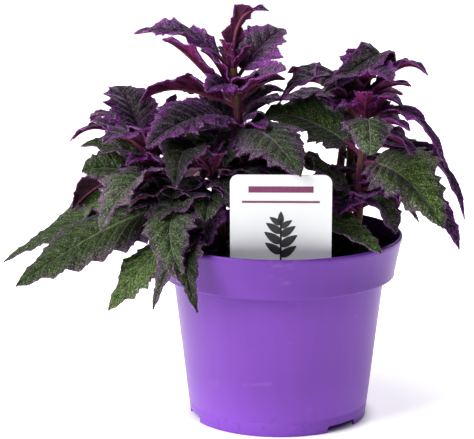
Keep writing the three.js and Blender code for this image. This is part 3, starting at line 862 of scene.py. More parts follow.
sample = Blade(STEMS["stem_left"], LONG_LEAF)
print("rows and columns of the longest blade:", sample.places.shape[:2])

# %% [markdown]
# ## From the grid to a leaf with thickness
# A leaf has two different sides: a green, hairy face, and a dull red back with raised veins.
# Solidify gives the sheet its thickness, and its material offset puts the second finish on
# the new shell, so the two sides and the rim close into one watertight skin. Where a vertex
# sits on the blade, and the leaf's colouring, are stored with the vertex for the finish.

# %% Blades as meshes
BLADE_THICKNESS = 0.6
SMALL_THICKNESS = 0.6
TONE_SPREAD = 0.06


def select_only(*objects):
    bpy.ops.object.select_all(action="DESELECT")
    for made in objects:
        made.select_set(True)
    bpy.context.view_layer.objects.active = objects[0]


def blade_object(blade, finishes):
    """The blade's grid as a mesh, moved to its places and given a thickness."""
    rows, columns = blade.places.shape[:2]
    bpy.ops.mesh.primitive_grid_add(x_subdivisions=rows - 1, y_subdivisions=columns - 1, size=2)
    made = bpy.context.object
    made.name = "blade"
    mesh = made.data
    flat = np.empty(len(mesh.vertices) * 3)
    mesh.vertices.foreach_get("co", flat)
    flat = flat.reshape(-1, 3)
    row = np.rint((flat[:, 0] + 1) / 2 * (rows - 1)).astype(int)
    column = np.rint((flat[:, 1] + 1) / 2 * (columns - 1)).astype(int)
    mesh.vertices.foreach_set("co", (blade.places[row, column] * MM).ravel())
    spot = np.stack([blade.share[row] * blade.cells, blade.columns[column], blade.share[row]], 1)
    tone = np.array(LOOKS[blade.spec["look"]]) + RANDOM.uniform(-TONE_SPREAD, TONE_SPREAD, 3)
    for title, values in (("blade", spot), ("look", np.tile(tone, (len(row), 1)))):
        stored = mesh.attributes.new(title, "FLOAT_VECTOR", "POINT")
        stored.data.foreach_set("vector", values.ravel())
    for finish in finishes:
        mesh.materials.append(finish.material)
    wall = made.modifiers.new("thickness", "SOLIDIFY")
    wall.thickness = (SMALL_THICKNESS if blade.small else 1) * BLADE_THICKNESS * MM
    wall.offset = -1
    wall.material_offset = 1
    bpy.ops.object.modifier_apply(modifier=wall.name)
    return made


print("corners in the longest blade's sheet:", sample.places[..., 0].size)

# %% [markdown]
# ## Stalks, midribs and stems
# The stalk and the midrib are one tapering rod under the blade, and the stem is a thicker
# one that swells a little where a leaf grows out of it. A cylinder could be bent and scaled
# ring by ring. A curve with a bevel makes such a rod at once: each of its points carries
# its own radius. The rod then becomes a mesh.

# %% Rods
ROD_TAPER, ROD_END = (1.05, 0.95, 0.2), 0.97
SMALL_ROD = 0.5
ROD_DEPTH, ROD_DIP = 0.15, 0.08
STEM_IN_SOIL = 12
STEM_FOOT_RADIUS = 2.6
STEM_TOP_RADIUS = 1.6
NODE_SWELLING, NODE_HALF = 0.35, 2.5


def rods(name, paths, finish, sides=8):
    """Round rods along paths of points, each point with its own radius, as one mesh."""
    curve = bpy.data.curves.new(name, "CURVE")
    curve.dimensions = "3D"
    curve.bevel_depth = MM
    curve.bevel_resolution = sides // 2 - 2
    curve.use_fill_caps = True
    for points, radii in paths:
        spline = curve.splines.new("POLY")
        spline.points.add(len(points) - 1)
        corners = np.hstack([points * MM, np.ones((len(points), 1))])
        spline.points.foreach_set("co", corners.ravel())
        spline.points.foreach_set("radius", radii)
    made = placed(name, curve)
    dress(made, finish)
    select_only(made)
    bpy.ops.object.convert(target="MESH")
    return bpy.context.object


def stalk_path(blade, points=22):
    """The leaf's stalk and midrib, which hangs a little below the blade."""
    s = np.linspace(0, ROD_END, points)
    middle, _, _, up = blade.arch.at(s)
    thick = np.interp(s, [0, blade.stalk, 1], ROD_TAPER) * (SMALL_ROD if blade.small else 1)
    low = np.interp(s, [0, blade.stalk, blade.stalk + ROD_DIP, 1], [0, 0, 1, 1])
    return middle - up * (low * (GROOVE_DEPTH + ROD_DEPTH + thick))[:, None], thick


def stem_path(stem, spacing=3):
    """The stem from inside the soil to its top, thicker where a leaf grows out of it."""
    foot, top = stem["foot"][2] - STEM_IN_SOIL, stem["top"][2]
    heights = np.linspace(foot, top, round((top - foot) / spacing))
    middle = np.array([stem_point(stem, h) for h in heights])
    below = stem_point(stem, stem["foot"][2])
    middle[heights < stem["foot"][2], :2] = below[:2]
    share = (heights - foot) / (top - foot)
    thick = STEM_FOOT_RADIUS + (STEM_TOP_RADIUS - STEM_FOOT_RADIUS) * share
    nodes = np.array([spec["at"] for spec in stem["leaves"]])
    swelling = np.exp(-(((heights[:, None] - nodes) / NODE_HALF) ** 2)).max(1)
    return middle, thick + NODE_SWELLING * swelling


print("the midrib of the longest blade has", len(stalk_path(sample)[0]), "points")

# %% [markdown]
# ## The leaf's face
# Under its hairs the leaf is a matt green with violet veins and a violet margin. The hairs
# themselves are made later as thin spikes where they show singly, along the edges. On the
# face they are so fine and so many that they act as a soft glow, which is what a shader's
# sheen is for: it lights up where the surface turns away from the eye. The colour
# comes from the place on the blade: the first number counts side veins, the second runs
# from -1 at one margin over 0 at the midrib to 1 at the other, the third from stalk to tip.

# %% Leaf face
COOL_GREEN, WARM_GREEN, PALE_GREEN = (0.019, 0.052, 0.021), (0.07, 0.13, 0.008), (0.16, 0.3, 0.07)
DEEP_VIOLET, LIGHT_VIOLET = (0.045, 0.007, 0.052), (0.24, 0.048, 0.3)
MARGIN_VIOLET = (0.27, 0.035, 0.34)
VEIN_START = TOOTH_PLACE * VEINS_PER_CELL - 0.5


def stored_numbers(finish, title):
    """The three numbers that the leaf's vertices carry under a title, as wires."""
    settings = {"attribute_name": title}
    return finish.numbers_of(finish.node("ShaderNodeAttribute", settings, output="Vector"))


def line_along(value, half, soft):
    """1 on a line where a value is nought, and 0 beyond its half-width."""
    return 1 - value.size().step(half, half + soft)


def leaf_face():
    finish = Finish(
        "leaf_face", roughness=0.6, specular_ior_level=0.25,
        sheen_weight=0.3, sheen_roughness=0.3, sheen_tint=(0.7, 0.42, 1.0),
    )
    veins, across, along = stored_numbers(finish, "blade")
    violet, light, warm = stored_numbers(finish, "look")
    out = across.size()
    between = (veins * VEINS_PER_CELL - VEIN_START).part()
    side_vein = line_along(between - 0.5, 0.01, 0.1) * (1 - out.step(0.6, 0.95))
    midrib = line_along(across, 0.012, 0.05)
    frayed = out + 0.16 * (finish.noise(260, detail=3) - 0.5)
    margin = frayed.step(0.9, 1.0).most(violet * frayed.step(0.55, 1.0))
    young = 1 - along.step(0, 0.65)
    cloud = finish.noise(90, detail=4)
    # painted highlight: pale dots where the hairs on the face would catch the light
    hair_glint = finish.noise(1900, detail=1).step(0.58, 0.68)
    # painted shade: a fine mottle that darkens the skin like shade in the creases of the crinkled
    # leaf
    crease_shade = finish.noise(1100, detail=3).step(0.4, 0.62)
    # painted shade: each quilted cell is darker near its side veins, more on one slope than the
    # other, as a lamp from one side would shade it
    pleat_shade = between.step(0.0, 0.5) * (1 - between.step(0.75, 1.0))
    cover = violet + 0.6 * (cloud - 0.5) + 0.45 * young + 0.25 * out.step(0.45, 0.9) - 0.12
    green = finish.mix(warm, COOL_GREEN, WARM_GREEN)
    green = finish.mix(light, finish.darker(0.8, green), finish.mix(0.35, green, PALE_GREEN))
    skin = finish.mix(cover, green, finish.mix(light, DEEP_VIOLET, LIGHT_VIOLET))
    skin = finish.mix(0.75 * crease_shade, skin, finish.darker(0.85, skin))
    # painted shade on the slopes of the quilted cells
    skin = finish.mix(0.65 - 0.65 * pleat_shade, skin, finish.darker(0.8, skin))
    vein_colour = finish.mix(violet * 1.6, (0.14, 0.2, 0.07), (0.22, 0.04, 0.24))
    skin = finish.mix(0.24 * side_vein * (0.3 + light) * (1 - 0.9 * violet), skin, vein_colour)
    rib_colour = finish.mix(violet * 1.6, (0.22, 0.3, 0.12), (0.3, 0.06, 0.26))
    skin = finish.mix(midrib * (0.3 + 0.5 * light), skin, rib_colour)
    skin = finish.mix(margin * (0.14 + 0.8 * violet), skin, MARGIN_VIOLET)
    # the colour of the painted hair glints
    hair_glint_colour = finish.mix(violet, (0.4, 0.5, 0.24), (0.55, 0.3, 0.6))
    skin = finish.mix(0.6 * hair_glint * (0.25 + light), skin, hair_glint_colour)
    finish.set(base_color=skin)
    vein = side_vein.most(midrib)
    height = finish.noise(900, detail=3) - vein - 1.6 * finish.cells(420, "SMOOTH_F1")
    finish.bump(height, 1, 0.5 * MM)
    return finish


LEAF_FACE = leaf_face()
print("finish ready:", LEAF_FACE.material.name, "with", len(LEAF_FACE.tree.nodes), "nodes")

# %% [markdown]
# ## The leaf's back
# The back is dull red to plum, brightest in young leaves, and a net of fine veins stands
# out of it between the side veins. Painting the net would tie it to one leaf. A pattern of
# cells has it ready made: it knows how far a place is from the nearest cell's edge, and
# small distances are the veins.

# %% Leaf back
DULL_RED, BRIGHT_RED = (0.035, 0.009, 0.025), (0.26, 0.035, 0.15)


def leaf_back():
    finish = Finish(
        "leaf_back", roughness=0.6, specular_ior_level=0.2,
        sheen_weight=0.2, sheen_roughness=0.4, sheen_tint=(1.0, 0.35, 0.85),
    )
    veins, across, _ = stored_numbers(finish, "blade")
    violet, _, warm = stored_numbers(finish, "look")
    out = across.size()
    side_vein = line_along((veins * VEINS_PER_CELL - VEIN_START).part() - 0.5, 0.04, 0.14)
    side_vein = side_vein * (1 - out.step(0.8, 1))
    net = 1 - finish.cells(380, "DISTANCE_TO_EDGE").step(0.03, 0.14)
    young = violet.step(0.4, 1.0)
    bright = finish.mix(young, DULL_RED, BRIGHT_RED)
    patches = finish.noise(160, detail=3).step(0.35, 0.65)
    skin = finish.mix(patches, finish.darker(0.8, bright), bright)
    skin = finish.mix(0.3 * warm, skin, (0.06, 0.05, 0.02))
    showing = 0.25 + 0.75 * young
    skin = finish.mix(0.25 * showing * net, skin, (0.17, 0.02, 0.1))
    skin = finish.mix(0.3 * showing * side_vein, skin, (0.24, 0.04, 0.17))
    skin = finish.mix(0.6 * showing * out.step(0.82, 1), skin, (0.26, 0.04, 0.25))
    finish.set(base_color=skin)
    finish.bump(0.8 * side_vein + 0.3 * net, 0.5, 0.4 * MM)
    return finish


LEAF_BACK = leaf_back()
print("finish ready:", LEAF_BACK.material.name, "with", len(LEAF_BACK.tree.nodes), "nodes")

# %% [markdown]
# ## Stems and stalks
# Both are plum with fine streaks. The stems also have brown patches and turn a pale
# green-brown near their young tops, and the stalks are redder and more silky. Height tells
# the young part of a stem from the old one, so it needs no second material.

# %% Stem and stalk finishes
def silky(name, tint, weight):
    return Finish(
        name, roughness=0.5, specular_ior_level=0.3,
        sheen_weight=weight, sheen_roughness=0.35, sheen_tint=tint,
    )


def stem_skin():
    finish = silky("stem_skin", (1.0, 0.45, 0.8), 0.6)
    patches = finish.noise(70, detail=3).step(0.4, 0.62)
    skin = finish.mix(patches, (0.09, 0.018, 0.045), (0.13, 0.085, 0.03))
    streaks = finish.noise(700, detail=2, stretch=(1, 1, 0.15))
    skin = finish.mix(streaks.step(0.5, 0.75) * 0.5, skin, (0.24, 0.1, 0.17))
    skin = finish.mix(0.7 * finish.height().step(0.15, 0.17), skin, (0.3, 0.2, 0.09))
    finish.set(base_color=skin)
    finish.bump(streaks, 0.4, 0.2 * MM)
    return finish


def stalk_skin():
    finish = silky("stalk_skin", (1.0, 0.4, 0.85), 0.8)
    patches = finish.noise(60).step(0.4, 0.6)
    skin = finish.mix(patches, (0.13, 0.018, 0.075), (0.17, 0.055, 0.055))
    streaks = finish.noise(700, detail=2)
    skin = finish.mix(streaks.step(0.5, 0.7) * 0.4, skin, (0.4, 0.09, 0.27))
    finish.set(base_color=skin)
    finish.bump(streaks, 0.4, 0.2 * MM)
    return finish


STEM_SKIN, STALK_SKIN = stem_skin(), stalk_skin()
print("finishes ready:", STEM_SKIN.material.name, "and", STALK_SKIN.material.name)

# %% [markdown]
# ## Putting the leafy stems together
# Each stem with its leaves, stalks and the tuft of young leaves at its top is one grown
# piece. It takes the place of the plain stem of the same name and is a single mesh, so it
# can be moved or reused as a whole. The blades are kept in a list, because the hairs are
# set on them next.

# %% Leafy stems
STEM_SIDES = 14
LEAF_CREASE = 60

fine_stems = {}
for stem_name, stem in STEMS.items():
    specs = [*stem["leaves"], *stem.get("inner", ()), *tuft(stem)]
    blades = [Blade(stem, spec) for spec in specs]
    pieces = [blade_object(blade, (LEAF_FACE, LEAF_BACK)) for blade in blades]
    pieces.append(rods("stalks", [stalk_path(blade) for blade in blades], STALK_SKIN))
    pieces.append(rods("stem", [stem_path(stem)], STEM_SKIN, sides=STEM_SIDES))
    select_only(*pieces)
    bpy.ops.object.join()
    foliage = bpy.context.object
    foliage.name = stem_name + "_foliage"
    bpy.ops.object.shade_smooth_by_angle(angle=math.radians(LEAF_CREASE))
    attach(foliage, "root")
    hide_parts(stem_name)
    fine_stems[stem_name] = blades
    print(foliage.name, "has", len(blades), "leaves and", len(foliage.data.polygons), "faces")

# %% [markdown]
# ## Hairs that show singly
# Every part of the real plant is hairy, and against the light each hair is a bright violet
# line. Blender's own hair would be quick to comb, but it isn't kept when the plant is handed
# on as a mesh. So one hair is modelled as a three-sided spike, and copies of its four
# corners are set on the leaves with plain arithmetic. Hairs add up: at four faces each, they
# are the largest part of this model, so they are a little thicker and fewer than in nature.

# %% One hair
bpy.ops.mesh.primitive_cone_add(vertices=3, radius1=1, depth=1, location=(0, 0, 0.5))
bpy.ops.object.transform_apply(location=True, rotation=False, scale=False)
spike = bpy.context.object
SPIKE_CORNERS = np.array([v.co[:] for v in spike.data.vertices])
SPIKE_FACES = np.array([face.vertices[:] for face in spike.data.polygons])
bpy.data.objects.remove(spike)
print("one hair has", len(SPIKE_FACES), "faces")

# %% [markdown]
# ## A coat of hairs
# Adding thousands of hairs one after the other would take minutes. So they are first only
# sown: where each one stands, which way it points, how long it is and how it is tinted.
# One mesh is then made of them all at once. Its map runs from the root of every hair to its
# tip one way and across the tints the other, so that one finish serves all of them.

# %% A coat of hairs
HAIR_RADIUS = 0.075
HAIR_LENGTH = 1.15
HAIR_SPREAD = 0.28
LENGTH_SPREAD = (0.55, 1.25)
TINT_SPREAD = 0.07
SUNK = 0.12
HAIR_MAP, MAP_EDGE, MAP_WIDTH = "OFBake", 0.02, 0.01


class Hairs:
    """Roots, directions, lengths and tints of hairs, collected before they are made."""

    def __init__(self):
        self.sown = []

    def sow(self, roots, directions, length, tint):
        count = len(roots)
        if count == 0:
            return
        directions = unit(directions + RANDOM.normal(0, HAIR_SPREAD, (count, 3)))
        lengths = HAIR_LENGTH * length * RANDOM.uniform(*LENGTH_SPREAD, count)
        tints = tint + RANDOM.normal(0, TINT_SPREAD, count)
        self.sown.append(np.hstack([roots, directions, lengths[:, None], tints[:, None]]))

    def object(self, name, finish):
        """All the sown hairs as one mesh."""
        sown = np.vstack(self.sown)
        roots, along, length, tint = sown[:, :3], sown[:, 3:6], sown[:, 6], sown[:, 7]
        aside = unit(np.cross(along, RANDOM.normal(0, 1, along.shape)))
        third = np.cross(along, aside)
        thick = HAIR_RADIUS * np.sqrt(length / HAIR_LENGTH)
        x, y, z = (SPIKE_CORNERS[:, k] for k in range(3))
        around = aside[:, None] * x[:, None] + third[:, None] * y[:, None]
        corners = roots[:, None] - SUNK * along[:, None] + around * thick[:, None, None]
        corners = corners + along[:, None] * (z * (length + SUNK)[:, None])[:, :, None]
        first = np.arange(len(sown)) * len(SPIKE_CORNERS)
        faces = (SPIKE_FACES[None] + first[:, None, None]).reshape(-1, 3)
        mesh = bpy.data.meshes.new(name)
        mesh.from_pydata(corners.reshape(-1, 3) * MM, [], faces)
        mesh.shade_smooth()
        across = np.clip(tint[:, None] + MAP_WIDTH * x, MAP_WIDTH, 1 - MAP_WIDTH)
        up = np.tile(MAP_EDGE + (1 - 2 * MAP_EDGE) * z, (len(sown), 1))
        spot = np.stack([up, across], 2).reshape(-1, 2)
        layout = mesh.uv_layers.new(name=HAIR_MAP)
        layout.uv.foreach_set("vector", spot[faces.ravel()].ravel())
        made = placed(name, mesh)
        dress(made, finish)
        return made


print("hairs are", HAIR_LENGTH, "mm long and", 2 * HAIR_RADIUS, "mm thick on average")

# %% [markdown]
# ## The hairs' finish
# A hair is dark at its root, where it stands in the shade of the others, and light at its
# tip. Three tints are enough: violet, pale lilac and magenta.

# %% Hair finish
TINTS = {"violet": 0.1, "pale": 0.5, "magenta": 0.9}


def hair_finish():
    finish = Finish("velvet_hair", roughness=0.45, specular_ior_level=0.35)
    place = finish.node("ShaderNodeUVMap", {"uv_map": HAIR_MAP})
    root_to_tip, tint, _ = finish.numbers_of(place)
    colour = finish.mix(tint.step(0.2, 0.42), (0.34, 0.06, 0.42), (0.7, 0.52, 0.66))
    colour = finish.mix(tint.step(0.62, 0.8), colour, (0.55, 0.06, 0.4))
    dark = finish.mix(0.5, colour, (0.05, 0.01, 0.05))
    finish.set(base_color=finish.mix(root_to_tip, dark, colour))
    return finish


VELVET_HAIR = hair_finish()
print("finish ready:", VELVET_HAIR.material.name, "in", ", ".join(TINTS))

# %% [markdown]
# ## Where hairs grow
# On a blade's margin hairs point outwards, on its face and back they stand up and lean
# towards the tip, and on a stalk or stem they stand out all round. Each kind of place has
# its rule. Roots are drawn at random, but longer edges and larger faces get more of them,
# so that the coat is even wherever the grid is coarse or fine.

# %% Sowing
FACE_HAIR_LENGTH = 0.8
STEM_HAIR_LENGTH = 1.1
MARGIN_LEAN, MARGIN_LIFT, MARGIN_SUNK = 0.35, 0.35, 0.3
FACE_LEAN = 0.9


def random_cells(count, weights):
    """Indices drawn at random with given weights."""
    weights = weights.ravel()
    return RANDOM.choice(len(weights), size=count, p=weights / weights.sum())


def sow_margin(hairs, blade, per_mm, tint):
    for column, hand in ((0, -1), (-1, 1)):
        edge = blade.places[:, column]
        steps = np.linalg.norm(np.diff(edge, axis=0), axis=1)
        count = round(per_mm * steps.sum())
        cell = random_cells(count, steps)
        share = RANDOM.uniform(0, 1, (count, 1))
        roots = edge[cell] * (1 - share) + edge[cell + 1] * share
        up = blade.up[cell, column]
        outward = hand * blade.side[cell, column] + MARGIN_LEAN * blade.along[cell, column]
        lift = RANDOM.normal(0, MARGIN_LIFT, (count, 1)) * up
        hairs.sow(roots - MARGIN_SUNK * up, outward + lift, 1, tint)


def sow_face(hairs, blade, per_mm2, tint, hand):
    """Hairs on one side of a blade: hand is 1 for its face and -1 for its back."""
    corner = blade.places[:-1, :-1]
    steps = blade.places[1:, :-1] - corner, blade.places[:-1, 1:] - corner
    areas = np.linalg.norm(np.cross(*steps), axis=2)
    count = round(per_mm2 * areas.sum())
    row, column = np.divmod(random_cells(count, areas), areas.shape[1])
    a, b = RANDOM.uniform(0, 1, (2, count, 1))
    roots = corner[row, column] + steps[0][row, column] * a + steps[1][row, column] * b
    up = blade.up[row, column] * hand
    if hand < 0:
        roots = roots + up * BLADE_THICKNESS
    hairs.sow(roots, up + FACE_LEAN * blade.along[row, column], FACE_HAIR_LENGTH, tint)


def sow_rod(hairs, points, radii, per_mm, tint, length=1.0):
    """Hairs all round a rod, square to it."""
    steps = np.diff(points, axis=0)
    lengths = np.linalg.norm(steps, axis=1)
    count = round(per_mm * lengths.sum())
    if count < 1:
        return
    cell = random_cells(count, lengths)
    share = RANDOM.uniform(0, 1, (count, 1))
    middle = points[cell] + steps[cell] * share
    outward = unit(np.cross(unit(steps[cell]), RANDOM.normal(0, 1, (count, 3))))
    hairs.sow(middle + outward * radii[cell][:, None], outward, length, tint)


print("ways to sow:", ", ".join(rule.__name__ for rule in (sow_margin, sow_face, sow_rod)))

# %% [markdown]
# ## The coat of every stem
# The coat is dense along the margins, where it shows against the background, thinner on the
# faces, and thick on stalks and young leaves. The more violet a leaf is, the more hairs it
# has. The leaves deep inside the plant get only a few. Each stem's hairs are a piece of
# their own, so that they can be left out where the plant is seen from far away.

# %% Hairs on every stem
MARGIN_HAIRS, LEAST_VIOLET = 3.2, 0.25
FACE_HAIRS, LEAST_COVER, YOUNG_FACE = 0.45, 0.3, 3
BACK_HAIRS, YOUNG_BACK = 0.12, 4
STALK_HAIRS = 8.0
STEM_HAIRS = 13.0
INNER_SHARE = 0.25


def sow_leaf(hairs, blade, share):
    """A leaf's hairs, of which an inner leaf gets only a share."""
    violet = LOOKS[blade.spec["look"]][0]
    edge_tint = TINTS["magenta"] if blade.small else TINTS["violet"]
    sow_margin(hairs, blade, share * MARGIN_HAIRS * (LEAST_VIOLET + violet), edge_tint)
    sow_margin(hairs, blade, share * MARGIN_HAIRS, TINTS["pale"])
    face_tint = TINTS["magenta"] if blade.small else TINTS["pale"] - 0.3 * violet
    cover = YOUNG_FACE if blade.small else LEAST_COVER + (1 - LEAST_COVER) * violet
    sow_face(hairs, blade, share * FACE_HAIRS * cover, face_tint, 1)
    back = YOUNG_BACK if blade.small else 1
    sow_face(hairs, blade, share * BACK_HAIRS * back, TINTS["magenta"], -1)
    points, radii = stalk_path(blade)
    bare = max(3, round(blade.stalk * len(points)) + 2)
    sow_rod(hairs, points[:bare], radii[:bare], STALK_HAIRS, TINTS["magenta"])


for stem_name, blades in fine_stems.items():
    hairs = Hairs()
    stem = STEMS[stem_name]
    for blade in blades:
        sow_leaf(hairs, blade, INNER_SHARE if blade.spec in stem.get("inner", ()) else 1)
    points, radii = stem_path(stem)
    above = points[:, 2] > stem["foot"][2]
    sow_rod(hairs, points[above], radii[above], STEM_HAIRS, TINTS["magenta"], STEM_HAIR_LENGTH)
    down = hairs.object(stem_name + "_hairs", VELVET_HAIR)
    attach(down, "root")
    print(down.name, "has", len(down.data.polygons), "faces")

# %% [markdown]
# ## The pot
# A nursery pot like this is moulded from thin plastic: a tapered wall, a deep collar that
# stiffens the rim, a foot ring with three notches for water, and a faint ridge low on the
# wall where the mould's parts met. A round thing that is cut from one profile can be spun.
# Here a circle is extruded ring by ring instead, because every ring can then be typed as a
# radius and a height, and the faces come out as clean bands.

# %% Turning a profile
def ring_of(radius, sides, height=0):
    """A circle, left in edit mode to be extruded."""
    bpy.ops.mesh.primitive_circle_add(vertices=sides, radius=radius * MM, location=(0, 0, 0))
    made = bpy.context.object
    bpy.ops.object.mode_set(mode="EDIT")
    bpy.ops.mesh.select_all(action="SELECT")
    bpy.ops.transform.translate(value=(0, 0, height * MM))
    return made


def turned(name, profile, sides):
    """A closed round body: a circle carried along a profile of radii and heights."""
    radius, height = profile[0]
    made = ring_of(radius, sides, height)
    made.name = name
    bpy.ops.mesh.edge_face_add()
    bpy.ops.mesh.select_all(action="SELECT")
    bpy.ops.mesh.flip_normals()
    for next_radius, next_height in profile[1:]:
        bpy.ops.mesh.select_mode(type="EDGE")
        bpy.ops.mesh.extrude_edges_move()
        scale = next_radius / radius
        bpy.ops.transform.resize(value=(scale, scale, 1), center_override=(0, 0, 0))
        bpy.ops.transform.translate(value=(0, 0, (next_height - height) * MM))
        radius, height = next_radius, next_height
    bpy.ops.mesh.edge_face_add()
    bpy.ops.mesh.select_all(action="SELECT")
    bpy.ops.mesh.normals_make_consistent(inside=False)
    bpy.ops.object.mode_set(mode="OBJECT")
    return made


POT_PROFILE = (
    (11, 0), (13, 4.2), (41.4, 4.2), (41.6, 4), (41.6, 0.4), (41.8, 0.1), (42.1, 0), (42.6, 0),
    (42.9, 0.1), (43.05, 0.4), (43.75, 6.5), (43.68, 6.9), (43.7, 7.3), (43.95, 7.7), (51.3, 69.4),
    (51.5, 70), (52, 70.4), (55.7, 70.4), (56.2, 70.5), (56.5, 70.8), (56.65, 71.3), (56.6, 72.6),
    (59.6, 87.6), (60, 88.1), (60.05, 89.6), (59.95, 90.1), (59.6, 90.4), (59.2, 90.5),
    (58.8, 90.4), (58.5, 90), (55.3, 72.4), (54.9, 71.9), (54.4, 71.8), (50.6, 71.8),
    (50.1, 71.6), (49.9, 71.1), (42.3, 6.4), (42, 5.8), (41.4, 5.6), (12.3, 5.6), (10.3, 1.4),
)
POT_SIDES = 144
pot = turned("pot_moulding", POT_PROFILE, POT_SIDES)
print("pot has", len(pot.data.polygons), "faces before its notches")

# %% [markdown]
# ## Notches and drain holes
# Three notches in the foot ring let the water out from under the pot, and three holes in
# the floor let it out of the pot. They could be drawn into the mesh. Cutting them out with
# a Boolean is simpler and surer, because the cutter is a plain shape: a block with rounded
# edges for a notch, a cylinder for a hole.

# %% Notches and drain holes
NOTCH_TURNS = (-44, 76, 196)
NOTCH_SIZE = (12, 19, 6.6)
NOTCH_RADIUS, NOTCH_ROUNDING, ROUNDING_STEPS = 43, 1.4, 3
DRAIN_TURN, DRAIN_RADIUS, DRAIN_CIRCLE, DRAIN_DEPTH, DRAIN_SIDES = 60, 4.5, 25, 30, 32
POT_CREASE = 40


def cut_from(body, cutter):
    select_only(body)
    cut = body.modifiers.new("cut", "BOOLEAN")
    cut.operation = "DIFFERENCE"
    cut.object = cutter
    bpy.ops.object.modifier_apply(modifier=cut.name)
    bpy.data.objects.remove(cutter)


def around(angle, radius):
    """A place on the ground, at an angle round the pot's middle and so far out."""
    return Vector((math.cos(angle), math.sin(angle), 0)) * radius * MM


for turn in NOTCH_TURNS:
    angle = math.radians(turn)
    place = around(angle, NOTCH_RADIUS)
    bpy.ops.mesh.primitive_cube_add(size=1, location=place, rotation=(0, 0, angle))
    notch = bpy.context.object
    notch.scale = [side * MM for side in NOTCH_SIZE]
    bpy.ops.object.transform_apply(location=False, rotation=False, scale=True)
    rounding = notch.modifiers.new("rounding", "BEVEL")
    rounding.width = NOTCH_ROUNDING * MM
    rounding.segments = ROUNDING_STEPS
    cut_from(pot, notch)
    place = around(math.radians(turn + DRAIN_TURN), DRAIN_CIRCLE)
    bpy.ops.mesh.primitive_cylinder_add(
        vertices=DRAIN_SIDES, radius=DRAIN_RADIUS * MM, depth=DRAIN_DEPTH * MM, location=place
    )
    cut_from(pot, bpy.context.object)
bpy.ops.object.shade_smooth_by_angle(angle=math.radians(POT_CREASE))
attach(pot, "root")
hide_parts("pot")
print("pot has", len(pot.data.polygons), "faces")

# %% [markdown]
# ## The pot's plastic
# The plastic is a violet polypropylene with a soft gloss. It isn't quite even: the melt
# left faint clouds and upright flow marks, the grower's hands left dull scuffs, and a few
# crumbs of soil cling to the rim. Painted shade makes the collar darker, and painted light,
# as the pale floor throws up, makes the foot paler. Each of those is one noise or one step of
# height on the object's own coordinates, so nothing slides when the pot is turned.

# %% Pot finish
POT_VIOLET, POT_LIGHTER = (0.168, 0.054, 0.343), (0.202, 0.068, 0.4)
# painted shade for the collar, and painted light from the pale floor for the foot
COLLAR_SHADE_VIOLET, FOOT_LIT_VIOLET = (0.138, 0.044, 0.295), (0.29, 0.1, 0.6)


def pot_plastic():
    finish = Finish("pot_plastic", specular_ior_level=0.25)
    high = finish.height()
    cloud = finish.noise(22, detail=3)
    flow = finish.noise(160, detail=3, stretch=(1, 1, 0.06))
    scuff = finish.noise(60, detail=5, stretch=(1, 1, 2.5)).step(0.63, 0.72)
    grain = finish.noise(2400, detail=2)
    specks = finish.noise(520, detail=1).step(0.73, 0.77) * high.step(0.078, 0.09)
    low_dust = finish.noise(300, detail=3).step(0.56, 0.75) * (1 - high.step(0.002, 0.016))
    base = finish.mix(cloud, POT_VIOLET, POT_LIGHTER)
    # painted shade: darker towards the collar
    base = finish.mix(high.step(0.05, 0.08), base, COLLAR_SHADE_VIOLET)
    # painted light: paler towards the foot, where the pale floor throws light up
    base = finish.mix(0.55 * (1 - high.step(0.002, 0.03)), base, FOOT_LIT_VIOLET)
    base = finish.mix(0.22 * flow, base, (0.26, 0.1, 0.5))
    base = finish.mix(0.07 * scuff, base, (0.6, 0.5, 0.75))
    base = finish.mix(0.35 * low_dust, base, (0.07, 0.03, 0.12))
    base = finish.mix(0.85 * specks, base, (0.02, 0.014, 0.01))
    finish.set(base_color=base)
    finish.set(roughness=0.36 + 0.12 * (cloud - 0.5) + 0.25 * scuff + 0.4 * specks)
    finish.bump(0.35 * grain + 0.5 * flow + specks, 0.25, 0.12 * MM)
    return finish


POT_PLASTIC = pot_plastic()
dress(pot, POT_PLASTIC)
print("finish ready:", POT_PLASTIC.material.name)

# %% [markdown]
# ## The soil
# Potting soil is dark, moist peat with lumps, bark and fibres, and it shows between the
# stems. The surface is turned like the pot, as many rings inside each other, and every
# vertex is then lifted by a noise in three sizes. A displacement in the finish would be
# quicker, but it would leave the surface flat wherever the plant is handed on as a mesh.

# %% Soil
SOIL_EDGE, SOIL_EDGE_HEIGHT, SOIL_CROWN = 56.9, 84, 2.5
SOIL_BODY = ((11, 6), (41.6, 6), (49.4, 71.6), (49.8, 72.3), (54.5, 72.3))
SOIL_RINGS = 44
SOIL_SIDES = 110


def soil_height(x, y):
    """The soil's height over a place, in millimetres."""
    mound = SOIL_CROWN * (1 - (math.hypot(x, y) / SOIL_EDGE) ** 2)
    place = Vector((x, y, 3.1))
    lumps = 1.1 * noise.noise(place * 0.13) + 0.7 * noise.noise(place * 0.35)
    return SOIL_EDGE_HEIGHT + mound + lumps + 0.45 * noise.noise(place * 0.9)


surface = [(SOIL_EDGE * (1 - k / SOIL_RINGS), SOIL_EDGE_HEIGHT) for k in range(SOIL_RINGS)]
soil = turned("soil_body", (*SOIL_BODY, *surface), SOIL_SIDES)
for vertex in soil.data.vertices:
    x, y, z = vertex.co / MM
    if z > SOIL_EDGE_HEIGHT - 1:
        vertex.co.z = soil_height(x, y) * MM
print("the soil's middle is", round(soil_height(0, 0), 1), "mm high")

# %% [markdown]
# ## Loose crumbs
# On top of the soil lie loose crumbs. One crumb is modelled from an ico sphere pushed out
# of round, and copies of it, each turned, sized and squashed at random, are scattered over
# the surface and joined with it. Small crumbs are far more common than large ones, which
# raising a random number to a power gives.

